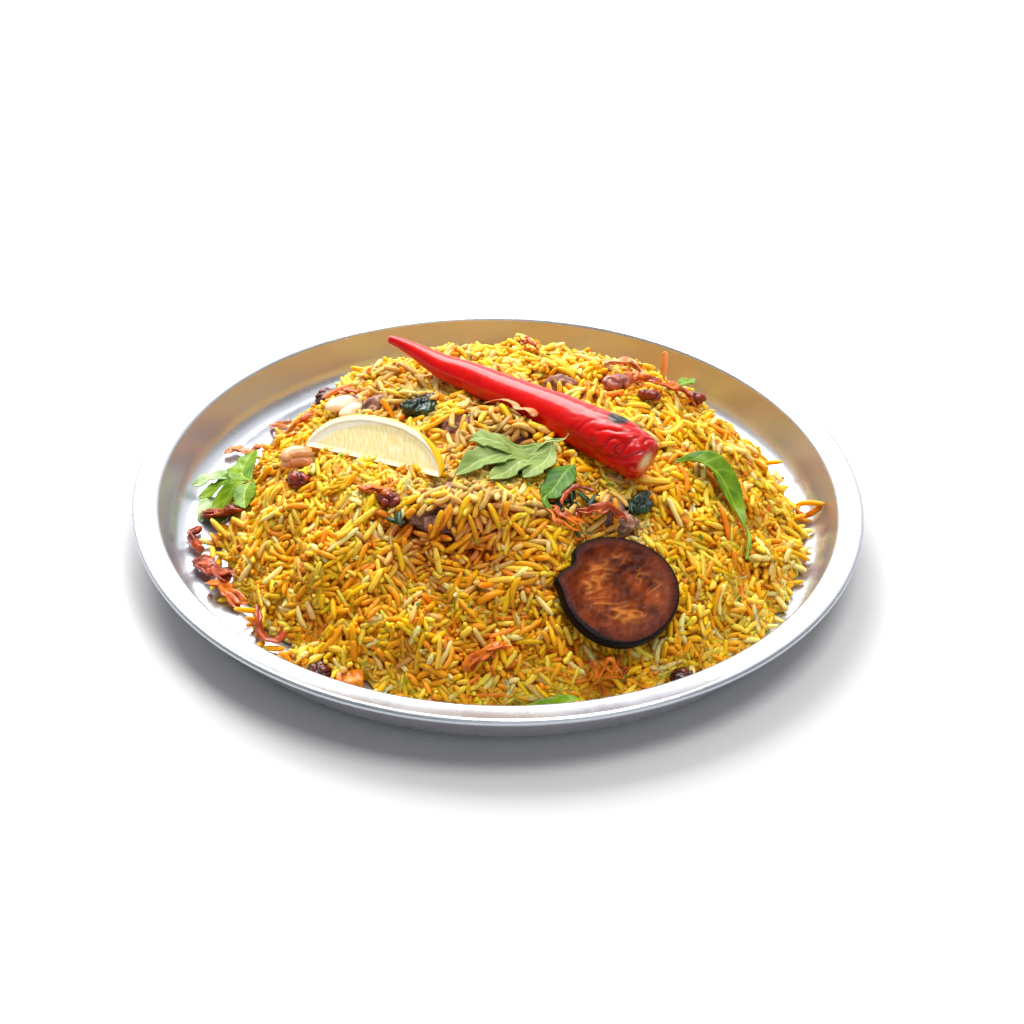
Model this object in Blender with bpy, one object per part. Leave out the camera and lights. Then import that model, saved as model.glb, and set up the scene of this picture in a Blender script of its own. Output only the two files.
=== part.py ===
"""Biryani heaped on its shallow stainless-steel thali plate.

The row frame has its origin at the centre of the plate's underside, +Z up, with the
diner's side towards -Y. Every size below is in millimetres; MM turns it into metres.
The rice is one solid out to its uneven outline. Each topping is a solid of its own,
which lies in a hollow cut in what carries it, or rests just above it.
"""

import math

import bmesh
import bpy
from mathutils import Matrix, Vector, noise
from mathutils.bvhtree import BVHTree

MM = 0.001
GAP = 0.3                      # air kept between pieces that touch

# Plate: a flat base, a rounded cove, a leaning wall, a level ledge and a rolled edge
PLATE_RADIUS = 140.0
SHEET = 0.8
BASE_RADIUS = 119.0
COVE_RADIUS = 10.0
WALL_LEAN = math.radians(9)
LEDGE_HEIGHT = 21.2
BEND_RADIUS = 1.5
ROLL_RADIUS = 1.4
PLATE_STEPS = 44

# Rice heap: a dome that is flat on top and steep at its foot
HEAP_FLOOR = SHEET + GAP
HEAP_HEIGHT = 52.5
HEAP_FOOT = 1.8                # a grain's thickness at the outline
HEAP_POWER = 3.0
HEAP_MEAN_RADIUS = 111.5
HEAP_SHIFT = (7.5, math.radians(-12))
HEAP_OVAL = (2.5, math.radians(30))
HEAP_LIMIT = 117.5
OUTLINE_NOISE = 1.2
SURFACE_NOISE = 1.0
NOISE_SCALE = 1 / 17.0
HEAP_STEPS = 52
HEAP_RINGS = 11
# Where hidden meat and vegetables raise the rice: x, y, reach, height
HEAP_RISES = ((-8, -46, 22, 4.0), (-40, 30, 30, 3.0), (40, 10, 34, 2.0), (-60, -60, 22, 2.0))

# Chilli, tip first: x, y, z, radius
CHILLI_LINE = (
    (-44.5, 32.0, 66.0, 1.5), (-40.0, 30.0, 65.5, 2.2), (-33.0, 26.0, 64.0, 3.2),
    (-22.5, 19.5, 61.5, 4.9), (-11.5, 13.0, 61.0, 5.8), (3.0, 3.0, 60.7, 6.4),
    (14.0, -5.0, 60.6, 7.2), (24.0, -12.5, 60.5, 7.9), (33.0, -20.0, 60.3, 8.8),
    (41.0, -26.5, 60.0, 9.3), (47.0, -31.5, 59.2, 9.2), (51.5, -35.0, 58.2, 8.3),
    (53.8, -36.8, 57.7, 6.4),
)
CHILLI_SIDES = 12

# Lemon wedge: it lies on one cut face with its core edge towards the diner
LEMON_CORE = ((-73.5, -6.0, 40.5), (-21.0, -45.0, 54.0))
LEMON_DEPTH = 16.8
LEMON_ANGLE = math.radians(36)
LEMON_LIE = (-0.25, -0.144, 0.96)
LEMON_STATIONS = 11
LEMON_ARC_STEPS = 5

# Aubergine slice: a thick disc on the front right slope
SLICE_PLACE = (43.0, -78.5)
SLICE_NORMAL = (0.22, -0.46, 0.86)
SLICE_RADIUS = 21.6
SLICE_THICKNESS = 7.0
SLICE_LIFT = 1.4
SLICE_STEPS = 28
SLICE_BEVEL = 1.2

# Meat lumps and cooked greens: name, x, y, length, width, height, turn, how far they stand out,
# kind, fineness
LUMPS = (
    ("meat_back_left", -46, 8, 17, 13, 12, 20, 2.6, "meat", 2),
    ("meat_centre", -3, -13, 46, 23, 17, -8, 4.2, "meat", 3),
    ("meat_front", -9, -54, 50, 31, 18, 6, 1.8, "meat", 2),
    ("meat_right", 38, -50, 27, 17, 14, -20, 3.0, "meat", 2),
    ("meat_behind_chilli", 23, 22, 17, 9, 9, -15, 2.4, "meat", 2),
    ("greens_back", -31, 2, 15, 12, 8, 10, 3.2, "greens", 2),
    ("greens_right", 51, -44, 13, 9, 7, 30, 2.4, "greens", 2),
)
# Lumps that other pieces press into
PRESSED = {
    "meat_back_left": ("almond_back",),
    "meat_centre": ("red_chilli", "lemon_wedge"),
    "meat_right": ("aubergine_slice", "greens_right"),
    "meat_behind_chilli": ("red_chilli",),
    "greens_right": ("aubergine_slice",),
}
LUMP_RELIEF = {"meat": 0.16, "greens": 0.22, "dried_fruit": 0.2, "nut": 0.05}

# Small pieces: name, x, y, length, width, height, turn, how far they stand out, kind
SMALL_PIECES = (
    ("raisin_back", -70, 49, 12, 8, 7, 45, 5.0, "dried_fruit"),
    ("raisin_left", -74.5, -23, 11, 7, 6, 10, 4.0, "dried_fruit"),
    ("raisin_middle", -39, -50, 10, 7, 6, -20, 3.4, "dried_fruit"),
    ("raisin_plate", -61, -94.5, 9.5, 6.5, 5.4, 15, 5.0, "dried_fruit"),
    ("raisin_back_right", 57, 20, 9, 5, 5, -5, 4.0, "dried_fruit"),
    ("raisin_far_right", 77, 47, 10, 5, 5, -10, 4.0, "dried_fruit"),
    ("raisin_front_right", 66, -93, 10, 5, 5, 25, 4.0, "dried_fruit"),
    ("sultana", 44, 25, 12, 6, 6, 20, 4.2, "dried_fruit"),
    ("almond_back", -59, 12, 19, 12, 6, 30, 3.6, "nut"),
)

# Cashew: x, y, radius of its bend, thickness, turn
CASHEW = (-75.0, -15.5, 5.5, 6.8, math.radians(15))
CASHEW_OUT = 4.6
APRICOT = (-50.0, -99.5, 9.6, 7.0, 5.2, math.radians(12))

# Strips: name, half width, half thickness, lift over what is beneath, points (x, y) of the middle
STRIPS = (
    ("carrot_strip", 2.2, 0.9, 0.0, "carrot", ((-70, 31), (-64, 30), (-58, 27))),
    ("onion_under_chilli", 2.2, 0.7, 0.0, "onion", ((-6, -2), (1, -7), (8, -12), (13, -17))),
    ("onion_left_strip", 2.8, 0.9, 1.5, "onion", ((-116, -1), (-111, -2), (-105, -6), (-100, -11))),
    ("onion_left_loop", 1.6, 0.7, 0.5, "onion", ((-114, -7), (-117.5, -13), (-116, -19), (-110, -24))),
    ("onion_left_clump", 3.4, 1.3, 0.5, "onion", ((-114, -29), (-110, -34), (-105, -40), (-99, -46))),
    ("onion_front_left", 1.7, 0.7, 0.3, "onion", ((-86, -66), (-84.5, -74), (-79.5, -80), (-75, -76))),
    ("onion_back_left", 2.2, 0.6, 2.0, "onion", ((-97, 39), (-103, 43), (-109, 45), (-113, 41))),
    ("onion_back_left_curl", 1.8, 0.6, 1.0, "onion", ((-90, 54), (-96, 60), (-95, 68), (-88, 68))),
    ("onion_over_slice", 1.6, 0.7, 0.2, "onion", ((27, -59), (33, -59.5), (40, -58.5), (46, -58))),
    ("onion_loop_right", 1.4, 0.6, 0.0, "onion", ((23, -57), (24, -51.5), (29.5, -47.5), (35, -50))),
    ("onion_back_right", 2.0, 0.7, 0.0, "onion", ((40, 35), (45, 42), (52, 44), (58, 40))),
)
STRIP_STATIONS = 9
STRIP_SIDES = 5
UPRIGHT_ONION = ((65.0, 67.0), 25.0, 43.5, 1.7, 0.8)     # x, y, foot height, top height, half sizes

# Long leaves: name, points (x, y) of the middle, half width, lift
BLADES = (
    ("leaf_centre_small", ((27, -36), (24, -42), (20, -49), (15, -57)), 5.6, 0.6),
    ("leaf_right", ((66, -19), (76, -18), (86, -21), (94, -30)), 5.6, 1.2),
    ("leaf_front", ((34, -109), (24, -111), (14, -113), (3, -113)), 3.2, 0.4),
    ("leaf_back_right", ((73, 63), (76, 66), (79, 69)), 3.0, 1.5),
)
# Lobed leaves: name, centre, plain radius, level, lobes as (direction, reach, spread) in degrees
LOBED_LEAVES = (
    ("leaf_centre_large", (4, -36), 8.5, None,
     ((24, 13, 11), (70, 2, 26), (138, 8.5, 27), (214, 13, 20), (268, 6.5, 14), (318, 4, 18))),
    ("sprig_left", (-108, 14), 5.0, 9.0,
     ((42, 15, 20), (105, 4, 18), (172, 9, 15), (225, 7, 14), (300, 14, 18))),
)
LEAF_THICKNESS = 0.6
LEAF_STEPS = 36
LEAF_CLEARANCE = 1.0

# Colours, linear
STEEL = (0.62, 0.62, 0.62)
COLOURS = {
    "rice": (0.72, 0.44, 0.06),
    "chilli": (0.60, 0.01, 0.005),
    "lemon": (0.85, 0.74, 0.25),
    "aubergine": (0.16, 0.045, 0.015),
    "meat": (0.13, 0.055, 0.035),
    "greens": (0.012, 0.035, 0.012),
    "dried_fruit": (0.07, 0.01, 0.008),
    "nut": (0.75, 0.52, 0.34),
    "carrot": (0.75, 0.22, 0.03),
    "onion": (0.34, 0.08, 0.02),
    "leaf": (0.10, 0.22, 0.04),
}


# ---------------------------------------------------------------- helpers

def clear_scene():
    """Remove every object that a new file starts with."""
    for obj in list(bpy.data.objects):
        bpy.data.objects.remove(obj, do_unlink=True)


def material(name, colour, roughness=0.5, metallic=0.0):
    """Return a plain Principled material, made once for each name."""
    found = bpy.data.materials.get(name)
    if found:
        return found
    made = bpy.data.materials.new(name)
    made.use_nodes = True
    shader = made.node_tree.nodes["Principled BSDF"]
    shader.inputs["Base Color"].default_value = (*colour, 1)
    shader.inputs["Roughness"].default_value = roughness
    shader.inputs["Metallic"].default_value = metallic
    made.diffuse_color = (*colour, 1)
    return made


def add_object(name, bm, finish):
    """Turn a mesh in millimetres into a smooth object in metres."""
    bmesh.ops.recalc_face_normals(bm, faces=bm.faces)
    bmesh.ops.scale(bm, vec=(MM, MM, MM), verts=bm.verts)
    mesh = bpy.data.meshes.new(name)
    bm.to_mesh(mesh)
    bm.free()
    mesh.shade_smooth()
    mesh.set_sharp_from_angle(angle=math.radians(40))
    mesh.materials.append(finish)
    obj = bpy.data.objects.new(name, mesh)
    bpy.context.scene.collection.objects.link(obj)
    return obj


def skin(rings):
    """Close a surface over rings of points; a ring of one point is a tip."""
    bm = bmesh.new()
    made = [[bm.verts.new(point) for point in ring] for ring in rings]
    for near, far in zip(made, made[1:]):
        count = max(len(near), len(far))
        for i in range(count):
            j = (i + 1) % count
            corners = [near[i % len(near)], near[j % len(near)], far[j % len(far)], far[i % len(far)]]
            unique = list(dict.fromkeys(corners))
            bm.faces.new(unique)
    for end in (made[0], made[-1]):
        if len(end) > 1:
            bm.faces.new(end)
    return bm


def smooth_line(points, stations):
    """Spread stations evenly over a smooth curve through a few points."""
    points = [Vector(p) for p in points]
    ends = [2 * points[0] - points[1]] + points + [2 * points[-1] - points[-2]]
    line = []
    for k in range(stations):
        t = k / (stations - 1) * (len(points) - 1)
        i = min(int(t), len(points) - 2)
        u = t - i
        a, b, c, d = ends[i:i + 4]
        line.append(0.5 * ((2 * b) + (c - a) * u + (2 * a - 5 * b + 4 * c - d) * u * u
                           + (3 * b - a - 3 * c + d) * u * u * u))
    return line


def tube(line, widths, heights, sides):
    """Loft oval sections along a line, its width level and its thickness upright."""
    rings = []
    for i, point in enumerate(line):
        along = (line[min(i + 1, len(line) - 1)] - line[max(i - 1, 0)]).normalized()
        side = along.cross(Vector((0, 0, 1)))
        side = side.normalized() if side.length > 0.1 else Vector((1, 0, 0))
        up = side.cross(along).normalized()
        ring = []
        for k in range(sides):
            angle = 2 * math.pi * (k + 0.5) / sides
            ring.append(point + side * widths[i] * math.cos(angle) + up * heights[i] * math.sin(angle))
        rings.append(ring)
    return skin(rings)


def surface_of(obj):
    """Return a search tree of an object's surface."""
    bm = bmesh.new()
    bm.from_mesh(obj.data)
    tree = BVHTree.FromBMesh(bm)
    bm.free()
    return tree


def rest_height(surfaces, x, y, reach):
    """Height of the highest surface within reach of a point, in millimetres."""
    best = SHEET
    spots = [(x, y)]
    for k in range(8):
        angle = math.pi * k / 4
        spots.append((x + reach * math.cos(angle), y + reach * math.sin(angle)))
    for px, py in spots:
        start = Vector((px, py, 150)) * MM
        for tree in surfaces:
            place = tree.ray_cast(start, Vector((0, 0, -1)))[0]
            if place is not None:
                best = max(best, place.z / MM)
    return best


# ---------------------------------------------------------------- plate

def arc(centre, radius, first, last, steps):
    """Points of an arc in the profile plane; angles in radians."""
    points = []
    for k in range(steps + 1):
        angle = first + (last - first) * k / steps
        points.append((centre[0] + radius * math.cos(angle), centre[1] + radius * math.sin(angle)))
    return points


def plate_profile():
    """Closed outline of the sheet from the axis out over the top and back beneath."""
    low = -math.pi / 2
    wall = -WALL_LEAN
    inner_cove = COVE_RADIUS - SHEET
    cove = (BASE_RADIUS, COVE_RADIUS)
    foot = Vector((cove[0] + inner_cove * math.cos(wall), cove[1] + inner_cove * math.sin(wall)))
    rise = LEDGE_HEIGHT - BEND_RADIUS - foot.y
    bend = (foot.x + rise * math.tan(WALL_LEAN) + BEND_RADIUS + SHEET / 2, LEDGE_HEIGHT - BEND_RADIUS)
    roll = (PLATE_RADIUS - ROLL_RADIUS, LEDGE_HEIGHT - ROLL_RADIUS + 0.6)
    top = [(0, SHEET)] + arc(cove, inner_cove, low, wall, 3)
    top += arc(bend, BEND_RADIUS, math.pi, math.pi / 2, 2)
    top += arc(roll, ROLL_RADIUS, math.pi / 2, math.radians(-135), 5)
    under = arc(bend, BEND_RADIUS - SHEET, math.pi / 2, math.pi, 1)
    under += arc(cove, COVE_RADIUS, wall, low, 3)
    return top + under + [(0, 0)]


def make_plate():
    """Spin the sheet's outline about the plate's axis."""
    bm = bmesh.new()
    points = [bm.verts.new((r, 0, z)) for r, z in plate_profile()]
    edges = [bm.edges.new(pair) for pair in zip(points, points[1:])]
    bmesh.ops.spin(bm, geom=points + edges, axis=(0, 0, 1), cent=(0, 0, 0),
                   angle=2 * math.pi, steps=PLATE_STEPS, use_merge=True)
    bmesh.ops.remove_doubles(bm, verts=bm.verts, dist=0.001)
    return add_object("plate", bm, material("steel", STEEL, 0.15, 1.0))


# ---------------------------------------------------------------- rice

def heap_radius(angle):
    """Distance of the heap's outline from the plate's axis."""
    shift = HEAP_SHIFT[0] * math.cos(angle - HEAP_SHIFT[1])
    oval = HEAP_OVAL[0] * math.cos(2 * (angle - HEAP_OVAL[1]))
    wave = OUTLINE_NOISE * noise.noise(Vector((4 * math.cos(angle), 4 * math.sin(angle), 7)))
    return min(HEAP_LIMIT, HEAP_MEAN_RADIUS + shift + oval + wave)


def heap_height(x, y):
    """Height of the heap's surface over a point of the plate."""
    rho = math.hypot(x, y) / heap_radius(math.atan2(y, x))
    if rho > 1:
        return SHEET
    height = HEAP_FLOOR + HEAP_FOOT + HEAP_HEIGHT * (1 - rho ** HEAP_POWER)
    for rise_x, rise_y, reach, rise in HEAP_RISES:
        fall = math.exp(-((x - rise_x) ** 2 + (y - rise_y) ** 2) / reach ** 2)
        height += rise * fall * (1 - rho ** 6)
    lumps = noise.noise(Vector((x, y, 0)) * NOISE_SCALE)
    return height + SURFACE_NOISE * lumps * (1 - rho ** 8)


def make_rice():
    """Rings of heap surface from the outline to the top, over a flat underside."""
    bm = bmesh.new()
    rings = []
    for ring in range(HEAP_RINGS):
        rho = (1 - ring / HEAP_RINGS) ** 0.8
        verts = []
        for step in range(HEAP_STEPS):
            angle = 2 * math.pi * step / HEAP_STEPS
            radius = heap_radius(angle) * rho
            x, y = radius * math.cos(angle), radius * math.sin(angle)
            height = HEAP_FLOOR + HEAP_FOOT if ring == 0 else heap_height(x, y)
            verts.append(bm.verts.new((x, y, height)))
        rings.append(verts)
    top = bm.verts.new((0, 0, heap_height(0, 0)))
    floor = [bm.verts.new((v.co.x, v.co.y, HEAP_FLOOR)) for v in rings[0]]
    for near, far in zip([floor] + rings, rings):
        for i in range(HEAP_STEPS):
            j = (i + 1) % HEAP_STEPS
            bm.faces.new((near[i], near[j], far[j], far[i]))
    for i in range(HEAP_STEPS):
        bm.faces.new((rings[-1][i], rings[-1][(i + 1) % HEAP_STEPS], top))
    bm.faces.new(floor[::-1])
    return add_object("rice", bm, material("rice", COLOURS["rice"], 0.6))


# ---------------------------------------------------------------- large toppings

def make_chilli():
    """A tapered, curved tube with a round tip and a blunt stalk end."""
    line = [Vector(p[:3]) for p in CHILLI_LINE]
    radii = [p[3] for p in CHILLI_LINE]
    bm = tube(line, radii, radii, CHILLI_SIDES)
    return add_object("red_chilli", bm, material("chilli", COLOURS["chilli"], 0.2))


def make_lemon():
    """A wedge between two cut faces that meet along the core edge."""
    start, end = (Vector(p) for p in LEMON_CORE)
    middle = (start + end) / 2
    half = (end - start).length / 2
    along = (end - start).normalized()
    lie = Vector(LEMON_LIE)
    up = (lie - along * lie.dot(along)).normalized()
    back = up.cross(along).normalized()
    rings = [[start]]
    for k in range(1, LEMON_STATIONS):
        s = -math.cos(math.pi * k / LEMON_STATIONS)
        reach = LEMON_DEPTH * (1 - abs(s) ** 2.3) ** 0.55
        point = middle + along * half * s
        ring = [point]
        for step in range(LEMON_ARC_STEPS + 1):
            angle = LEMON_ANGLE * step / LEMON_ARC_STEPS
            ring.append(point + back * reach * math.cos(angle) + up * reach * math.sin(angle))
        rings.append(ring)
    rings.append([end])
    return add_object("lemon_wedge", skin(rings), material("lemon", COLOURS["lemon"], 0.35))


def slice_radius(angle):
    """Outline of the aubergine slice: nearly round, with a notch beside a pointed corner."""
    radius = SLICE_RADIUS + 0.6 * math.cos(2 * angle + 0.5) + 0.5 * math.cos(3 * angle)
    notch = 3.2 * math.exp(-((angle - math.radians(133)) / 0.2) ** 2)
    corner = 1.4 * math.exp(-((angle - math.radians(155)) / 0.12) ** 2)
    return radius - notch + corner


def make_slice():
    """A bevelled disc that lies against the slope."""
    x, y = SLICE_PLACE
    normal = Vector(SLICE_NORMAL).normalized()
    centre = Vector((x, y, heap_height(x, y))) + normal * SLICE_LIFT
    across = Vector((0, 0, 1)).cross(normal).normalized()
    uphill = normal.cross(across)
    rings = []
    half = SLICE_THICKNESS / 2
    for level, inset in ((-half, SLICE_BEVEL), (SLICE_BEVEL - half, 0), (half - SLICE_BEVEL, 0),
                         (half, SLICE_BEVEL)):
        ring = []
        for k in range(SLICE_STEPS):
            angle = 2 * math.pi * k / SLICE_STEPS
            radius = slice_radius(angle) - inset
            ring.append(centre + normal * level
                        + across * radius * math.cos(angle) + uphill * radius * math.sin(angle))
        rings.append(ring)
    return add_object("aubergine_slice", skin(rings), material("aubergine", COLOURS["aubergine"], 0.4))


def make_lump(name, x, y, length, width, height, turn, out, kind, fineness=2):
    """An uneven rounded piece that stands a little out of the rice."""
    bm = bmesh.new()
    bmesh.ops.create_icosphere(bm, subdivisions=fineness, radius=1)
    relief = LUMP_RELIEF[kind]
    seed = Vector((x, y, length))
    for vert in bm.verts:
        bump = noise.noise(vert.co * 1.7 + seed)
        vert.co *= 1 + relief * bump
    bmesh.ops.scale(bm, vec=(length / 2, width / 2, height / 2), verts=bm.verts)
    bmesh.ops.rotate(bm, matrix=Matrix.Rotation(math.radians(turn), 3, "Z"), verts=bm.verts)
    low = min(v.co.z for v in bm.verts)
    top = max(v.co.z for v in bm.verts)
    floor = HEAP_FLOOR - low
    level = max(floor, heap_height(x, y) + out - top)
    bmesh.ops.translate(bm, vec=(x, y, level), verts=bm.verts)
    return add_object(name, bm, material(kind, COLOURS[kind], 0.5))


def make_cashew():
    """A kidney-shaped nut: a fat tube along a short arc, with round ends."""
    x, y, bend, thickness, turn = CASHEW
    height = heap_height(x, y) + CASHEW_OUT - thickness / 2
    line = []
    radii = []
    for k in range(9):
        s = k / 8
        angle = turn + math.radians(200) * (s - 0.5) + math.pi / 2
        line.append(Vector((x + bend * math.cos(angle), y + bend * math.sin(angle), height)))
        radii.append(thickness / 2 * max(0.3, math.sin(math.pi * s) ** 0.35))
    bm = tube(line, [r * 0.85 for r in radii], radii, 10)
    return add_object("cashew_front", bm, material("nut", COLOURS["nut"], 0.4))


def make_apricot():
    """A small cut cube of dried apricot that lies on the plate at the heap's foot."""
    x, y, length, width, height, turn = APRICOT
    bm = bmesh.new()
    bmesh.ops.create_cube(bm, size=1)
    bmesh.ops.scale(bm, vec=(length, width, height), verts=bm.verts)
    bmesh.ops.bevel(bm, geom=bm.edges[:], offset=1.2, segments=2, profile=0.6, affect="EDGES")
    bmesh.ops.rotate(bm, matrix=Matrix.Rotation(turn, 3, "Z"), verts=bm.verts)
    bmesh.ops.translate(bm, vec=(x, y, HEAP_FLOOR + height / 2), verts=bm.verts)
    return add_object("apricot_piece", bm, material("carrot", COLOURS["carrot"], 0.4))


# ---------------------------------------------------------------- draped pieces

def make_strip(name, half_width, half_thickness, lift, kind, points, surfaces):
    """A flat strip with thin ends that follows what it lies on."""
    line = smooth_line([(x, y, 0) for x, y in points], STRIP_STATIONS)
    widths = []
    heights = []
    for i, point in enumerate(line):
        s = i / (STRIP_STATIONS - 1)
        fullness = 0.35 + 0.65 * math.sin(math.pi * s) ** 0.6
        widths.append(half_width * fullness)
        heights.append(half_thickness)
        arch = lift * math.sin(math.pi * s)
        clear = LEAF_CLEARANCE + half_thickness
        point.z = rest_height(surfaces, point.x, point.y, half_width + 0.6) + clear + arch
    bm = tube(line, widths, heights, STRIP_SIDES)
    return add_object(name, bm, material(kind, COLOURS[kind], 0.45))


def make_upright_onion():
    """A thin strip that stands up out of the rice."""
    (x, y), low, high, half_width, half_depth = UPRIGHT_ONION
    rings = []
    for k in range(7):
        s = k / 6
        lean = 0.8 * math.sin(3 * s)
        narrow = 1 - 0.35 * abs(2 * s - 1) ** 3
        ring = []
        for side in range(STRIP_SIDES):
            angle = 2 * math.pi * side / STRIP_SIDES
            ring.append(Vector((x + lean + half_width * narrow * math.cos(angle),
                                y + half_depth * narrow * math.sin(angle), low + (high - low) * s)))
        rings.append(ring)
    return add_object("onion_upright", skin(rings), material("onion", COLOURS["onion"], 0.45))


def make_blade(name, points, half_width, lift, surfaces):
    """A long leaf, widest past its middle, with a narrow stalk end."""
    line = smooth_line([(x, y, 0) for x, y in points], STRIP_STATIONS)
    widths = []
    heights = []
    for i, point in enumerate(line):
        s = i / (STRIP_STATIONS - 1)
        shape = max(0.12, math.sin(math.pi * min(1, s * 1.02)) ** 0.8)
        widths.append(half_width * shape)
        heights.append(LEAF_THICKNESS / 2)
        clear = LEAF_CLEARANCE + LEAF_THICKNESS / 2
        arch = lift * math.sin(math.pi * s)
        point.z = rest_height(surfaces, point.x, point.y, half_width * 0.9) + clear + arch
    bm = tube(line, widths, heights, STRIP_SIDES)
    return add_object(name, bm, material("leaf", COLOURS["leaf"], 0.5))


def lobed_radius(angle, plain, lobes):
    """Outline of a lobed leaf: a plain round with pointed lobes."""
    radius = plain
    for direction, reach, spread in lobes:
        away = math.degrees(angle) - direction
        away = (away + 180) % 360 - 180
        radius += reach * math.exp(-abs(away / spread) ** 1.6)
    return radius


def make_lobed_leaf(name, centre, plain, level, lobes, surfaces):
    """A thin leaf whose underside follows what it lies on, or stays level where it is higher."""
    bm = bmesh.new()
    sheets = []
    for lift in (0, LEAF_THICKNESS):
        rings = []
        for share in (0.5, 1.0):
            ring = []
            for k in range(LEAF_STEPS):
                angle = 2 * math.pi * k / LEAF_STEPS
                radius = lobed_radius(angle, plain, lobes) * share
                x = centre[0] + radius * math.cos(angle)
                y = centre[1] + radius * math.sin(angle)
                z = rest_height(surfaces, x, y, 2.5) + LEAF_CLEARANCE
                ring.append(bm.verts.new((x, y, max(z, level or 0) + lift)))
            rings.append(ring)
        z = rest_height(surfaces, *centre, 2.5) + LEAF_CLEARANCE
        middle = bm.verts.new((*centre, max(z, level or 0) + lift))
        sheets.append((middle, rings))
    for middle, (inner, outer) in sheets:
        for i in range(LEAF_STEPS):
            j = (i + 1) % LEAF_STEPS
            bm.faces.new((middle, inner[i], inner[j]))
            bm.faces.new((inner[i], outer[i], outer[j], inner[j]))
    low_edge, high_edge = sheets[0][1][1], sheets[1][1][1]
    for i in range(LEAF_STEPS):
        j = (i + 1) % LEAF_STEPS
        bm.faces.new((low_edge[i], low_edge[j], high_edge[j], high_edge[i]))
    return add_object(name, bm, material("leaf", COLOURS["leaf"], 0.5))


# ---------------------------------------------------------------- hollows

def cutter_of(guest):
    """A copy of a piece, larger by the gap all over, which cuts its hollow."""
    name = guest.name + "_cutter"
    found = bpy.data.objects.get(name)
    if found:
        return found
    bm = bmesh.new()
    bm.from_mesh(guest.data)
    bm.normal_update()
    places = [v.co + v.normal * GAP * MM * min(2.0, v.calc_shell_factor()) for v in bm.verts]
    for vert, place in zip(bm.verts, places):
        vert.co = place
    mesh = bpy.data.meshes.new(name)
    bm.to_mesh(mesh)
    bm.free()
    cutter = bpy.data.objects.new(name, mesh)
    cutter.hide_render = True
    cutter.display_type = "WIRE"
    bpy.context.scene.collection.objects.link(cutter)
    return cutter


def nest(host, guests):
    """Cut a hollow for each guest in the piece that carries it."""
    for guest in guests:
        cut = host.modifiers.new("hollow for " + guest.name, "BOOLEAN")
        cut.operation = "DIFFERENCE"
        cut.solver = "EXACT"
        cut.object = cutter_of(guest)


def main():
    """Build the plate, the heap and every topping, then cut the hollows."""
    clear_scene()
    plate = make_plate()
    rice = make_rice()
    chilli = make_chilli()
    lemon = make_lemon()
    aubergine = make_slice()
    lumps = [make_lump(*row) for row in LUMPS]
    small = [make_lump(*row) for row in SMALL_PIECES]
    small += [make_cashew(), make_apricot()]

    surfaces = [surface_of(obj) for obj in (plate, rice, aubergine, *lumps, *small)]
    upright = make_upright_onion()
    for row in STRIPS:
        make_strip(*row, surfaces)
    for row in BLADES:
        make_blade(*row, surfaces)
    for row in LOBED_LEAVES:
        make_lobed_leaf(*row, surfaces)

    for name, guests in PRESSED.items():
        nest(bpy.data.objects[name], [bpy.data.objects[guest] for guest in guests])
    nest(rice, [chilli, lemon, aubergine, *lumps, *small, upright])


main()
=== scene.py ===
"""Looks for a biryani heaped on its steel thali plate.

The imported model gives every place: the plate, the heap and each topping are read from
model.glb. The heap becomes thousands of rice grains over a smaller core. Lengths in
the grain work are millimetres, and everything handed to Blender is in metres.
"""

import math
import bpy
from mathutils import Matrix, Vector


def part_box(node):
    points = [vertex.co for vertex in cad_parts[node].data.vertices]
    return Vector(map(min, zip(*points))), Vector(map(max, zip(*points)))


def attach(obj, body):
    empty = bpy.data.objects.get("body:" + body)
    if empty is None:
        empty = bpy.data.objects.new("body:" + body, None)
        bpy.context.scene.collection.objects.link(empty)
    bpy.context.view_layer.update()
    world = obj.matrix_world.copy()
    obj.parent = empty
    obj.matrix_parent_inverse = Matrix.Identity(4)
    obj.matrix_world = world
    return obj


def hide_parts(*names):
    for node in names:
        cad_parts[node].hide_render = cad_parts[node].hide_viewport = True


bl_info = {
    "name": "Biryani on a Steel Thali",
    "version": (1, 0, 0),
    "blender": (4, 5, 0),
    "location": "View3D > Sidebar > Biryani",
    "description": "Builds a plate of biryani, grain by grain, around its packed model",
    "category": "Object",
}

import bpy
import numpy as np
from bpy.props import FloatProperty, FloatVectorProperty, IntProperty, PointerProperty
from bpy.types import Operator, Panel, PropertyGroup
from mathutils import Matrix, Vector, noise
from mathutils.bvhtree import BVHTree

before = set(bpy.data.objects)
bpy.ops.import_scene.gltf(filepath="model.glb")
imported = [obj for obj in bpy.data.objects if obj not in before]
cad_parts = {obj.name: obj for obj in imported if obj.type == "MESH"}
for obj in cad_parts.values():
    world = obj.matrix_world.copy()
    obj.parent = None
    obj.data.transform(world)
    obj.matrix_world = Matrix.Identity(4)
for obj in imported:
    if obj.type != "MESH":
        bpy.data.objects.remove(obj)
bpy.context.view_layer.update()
MM = 0.001

MEAT = ("meat_back_left", "meat_centre", "meat_front", "meat_right", "meat_behind_chilli")
GREENS = ("greens_back", "greens_right")
FRUIT = ("raisin_back", "raisin_left", "raisin_middle", "raisin_plate", "raisin_back_right",
         "raisin_far_right", "raisin_front_right", "sultana")
LARGE = ("red_chilli", "lemon_wedge", "aubergine_slice")
SMALL = FRUIT + ("almond_back", "cashew_front", "apricot_piece")


def srgb(red, green, blue):
    """Turn a colour of 0 to 255 a channel into the linear one that Blender wants."""
    values = []
    for channel in (red, green, blue):
        c = channel / 255
        values.append(c / 12.92 if c <= 0.04045 else ((c + 0.055) / 1.055) ** 2.4)
    return tuple(values)


def length(name, words, default):
    """A length property, in metres."""
    return FloatProperty(name=name, description=words, default=default, min=0, unit="LENGTH",
                         precision=4)


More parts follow.
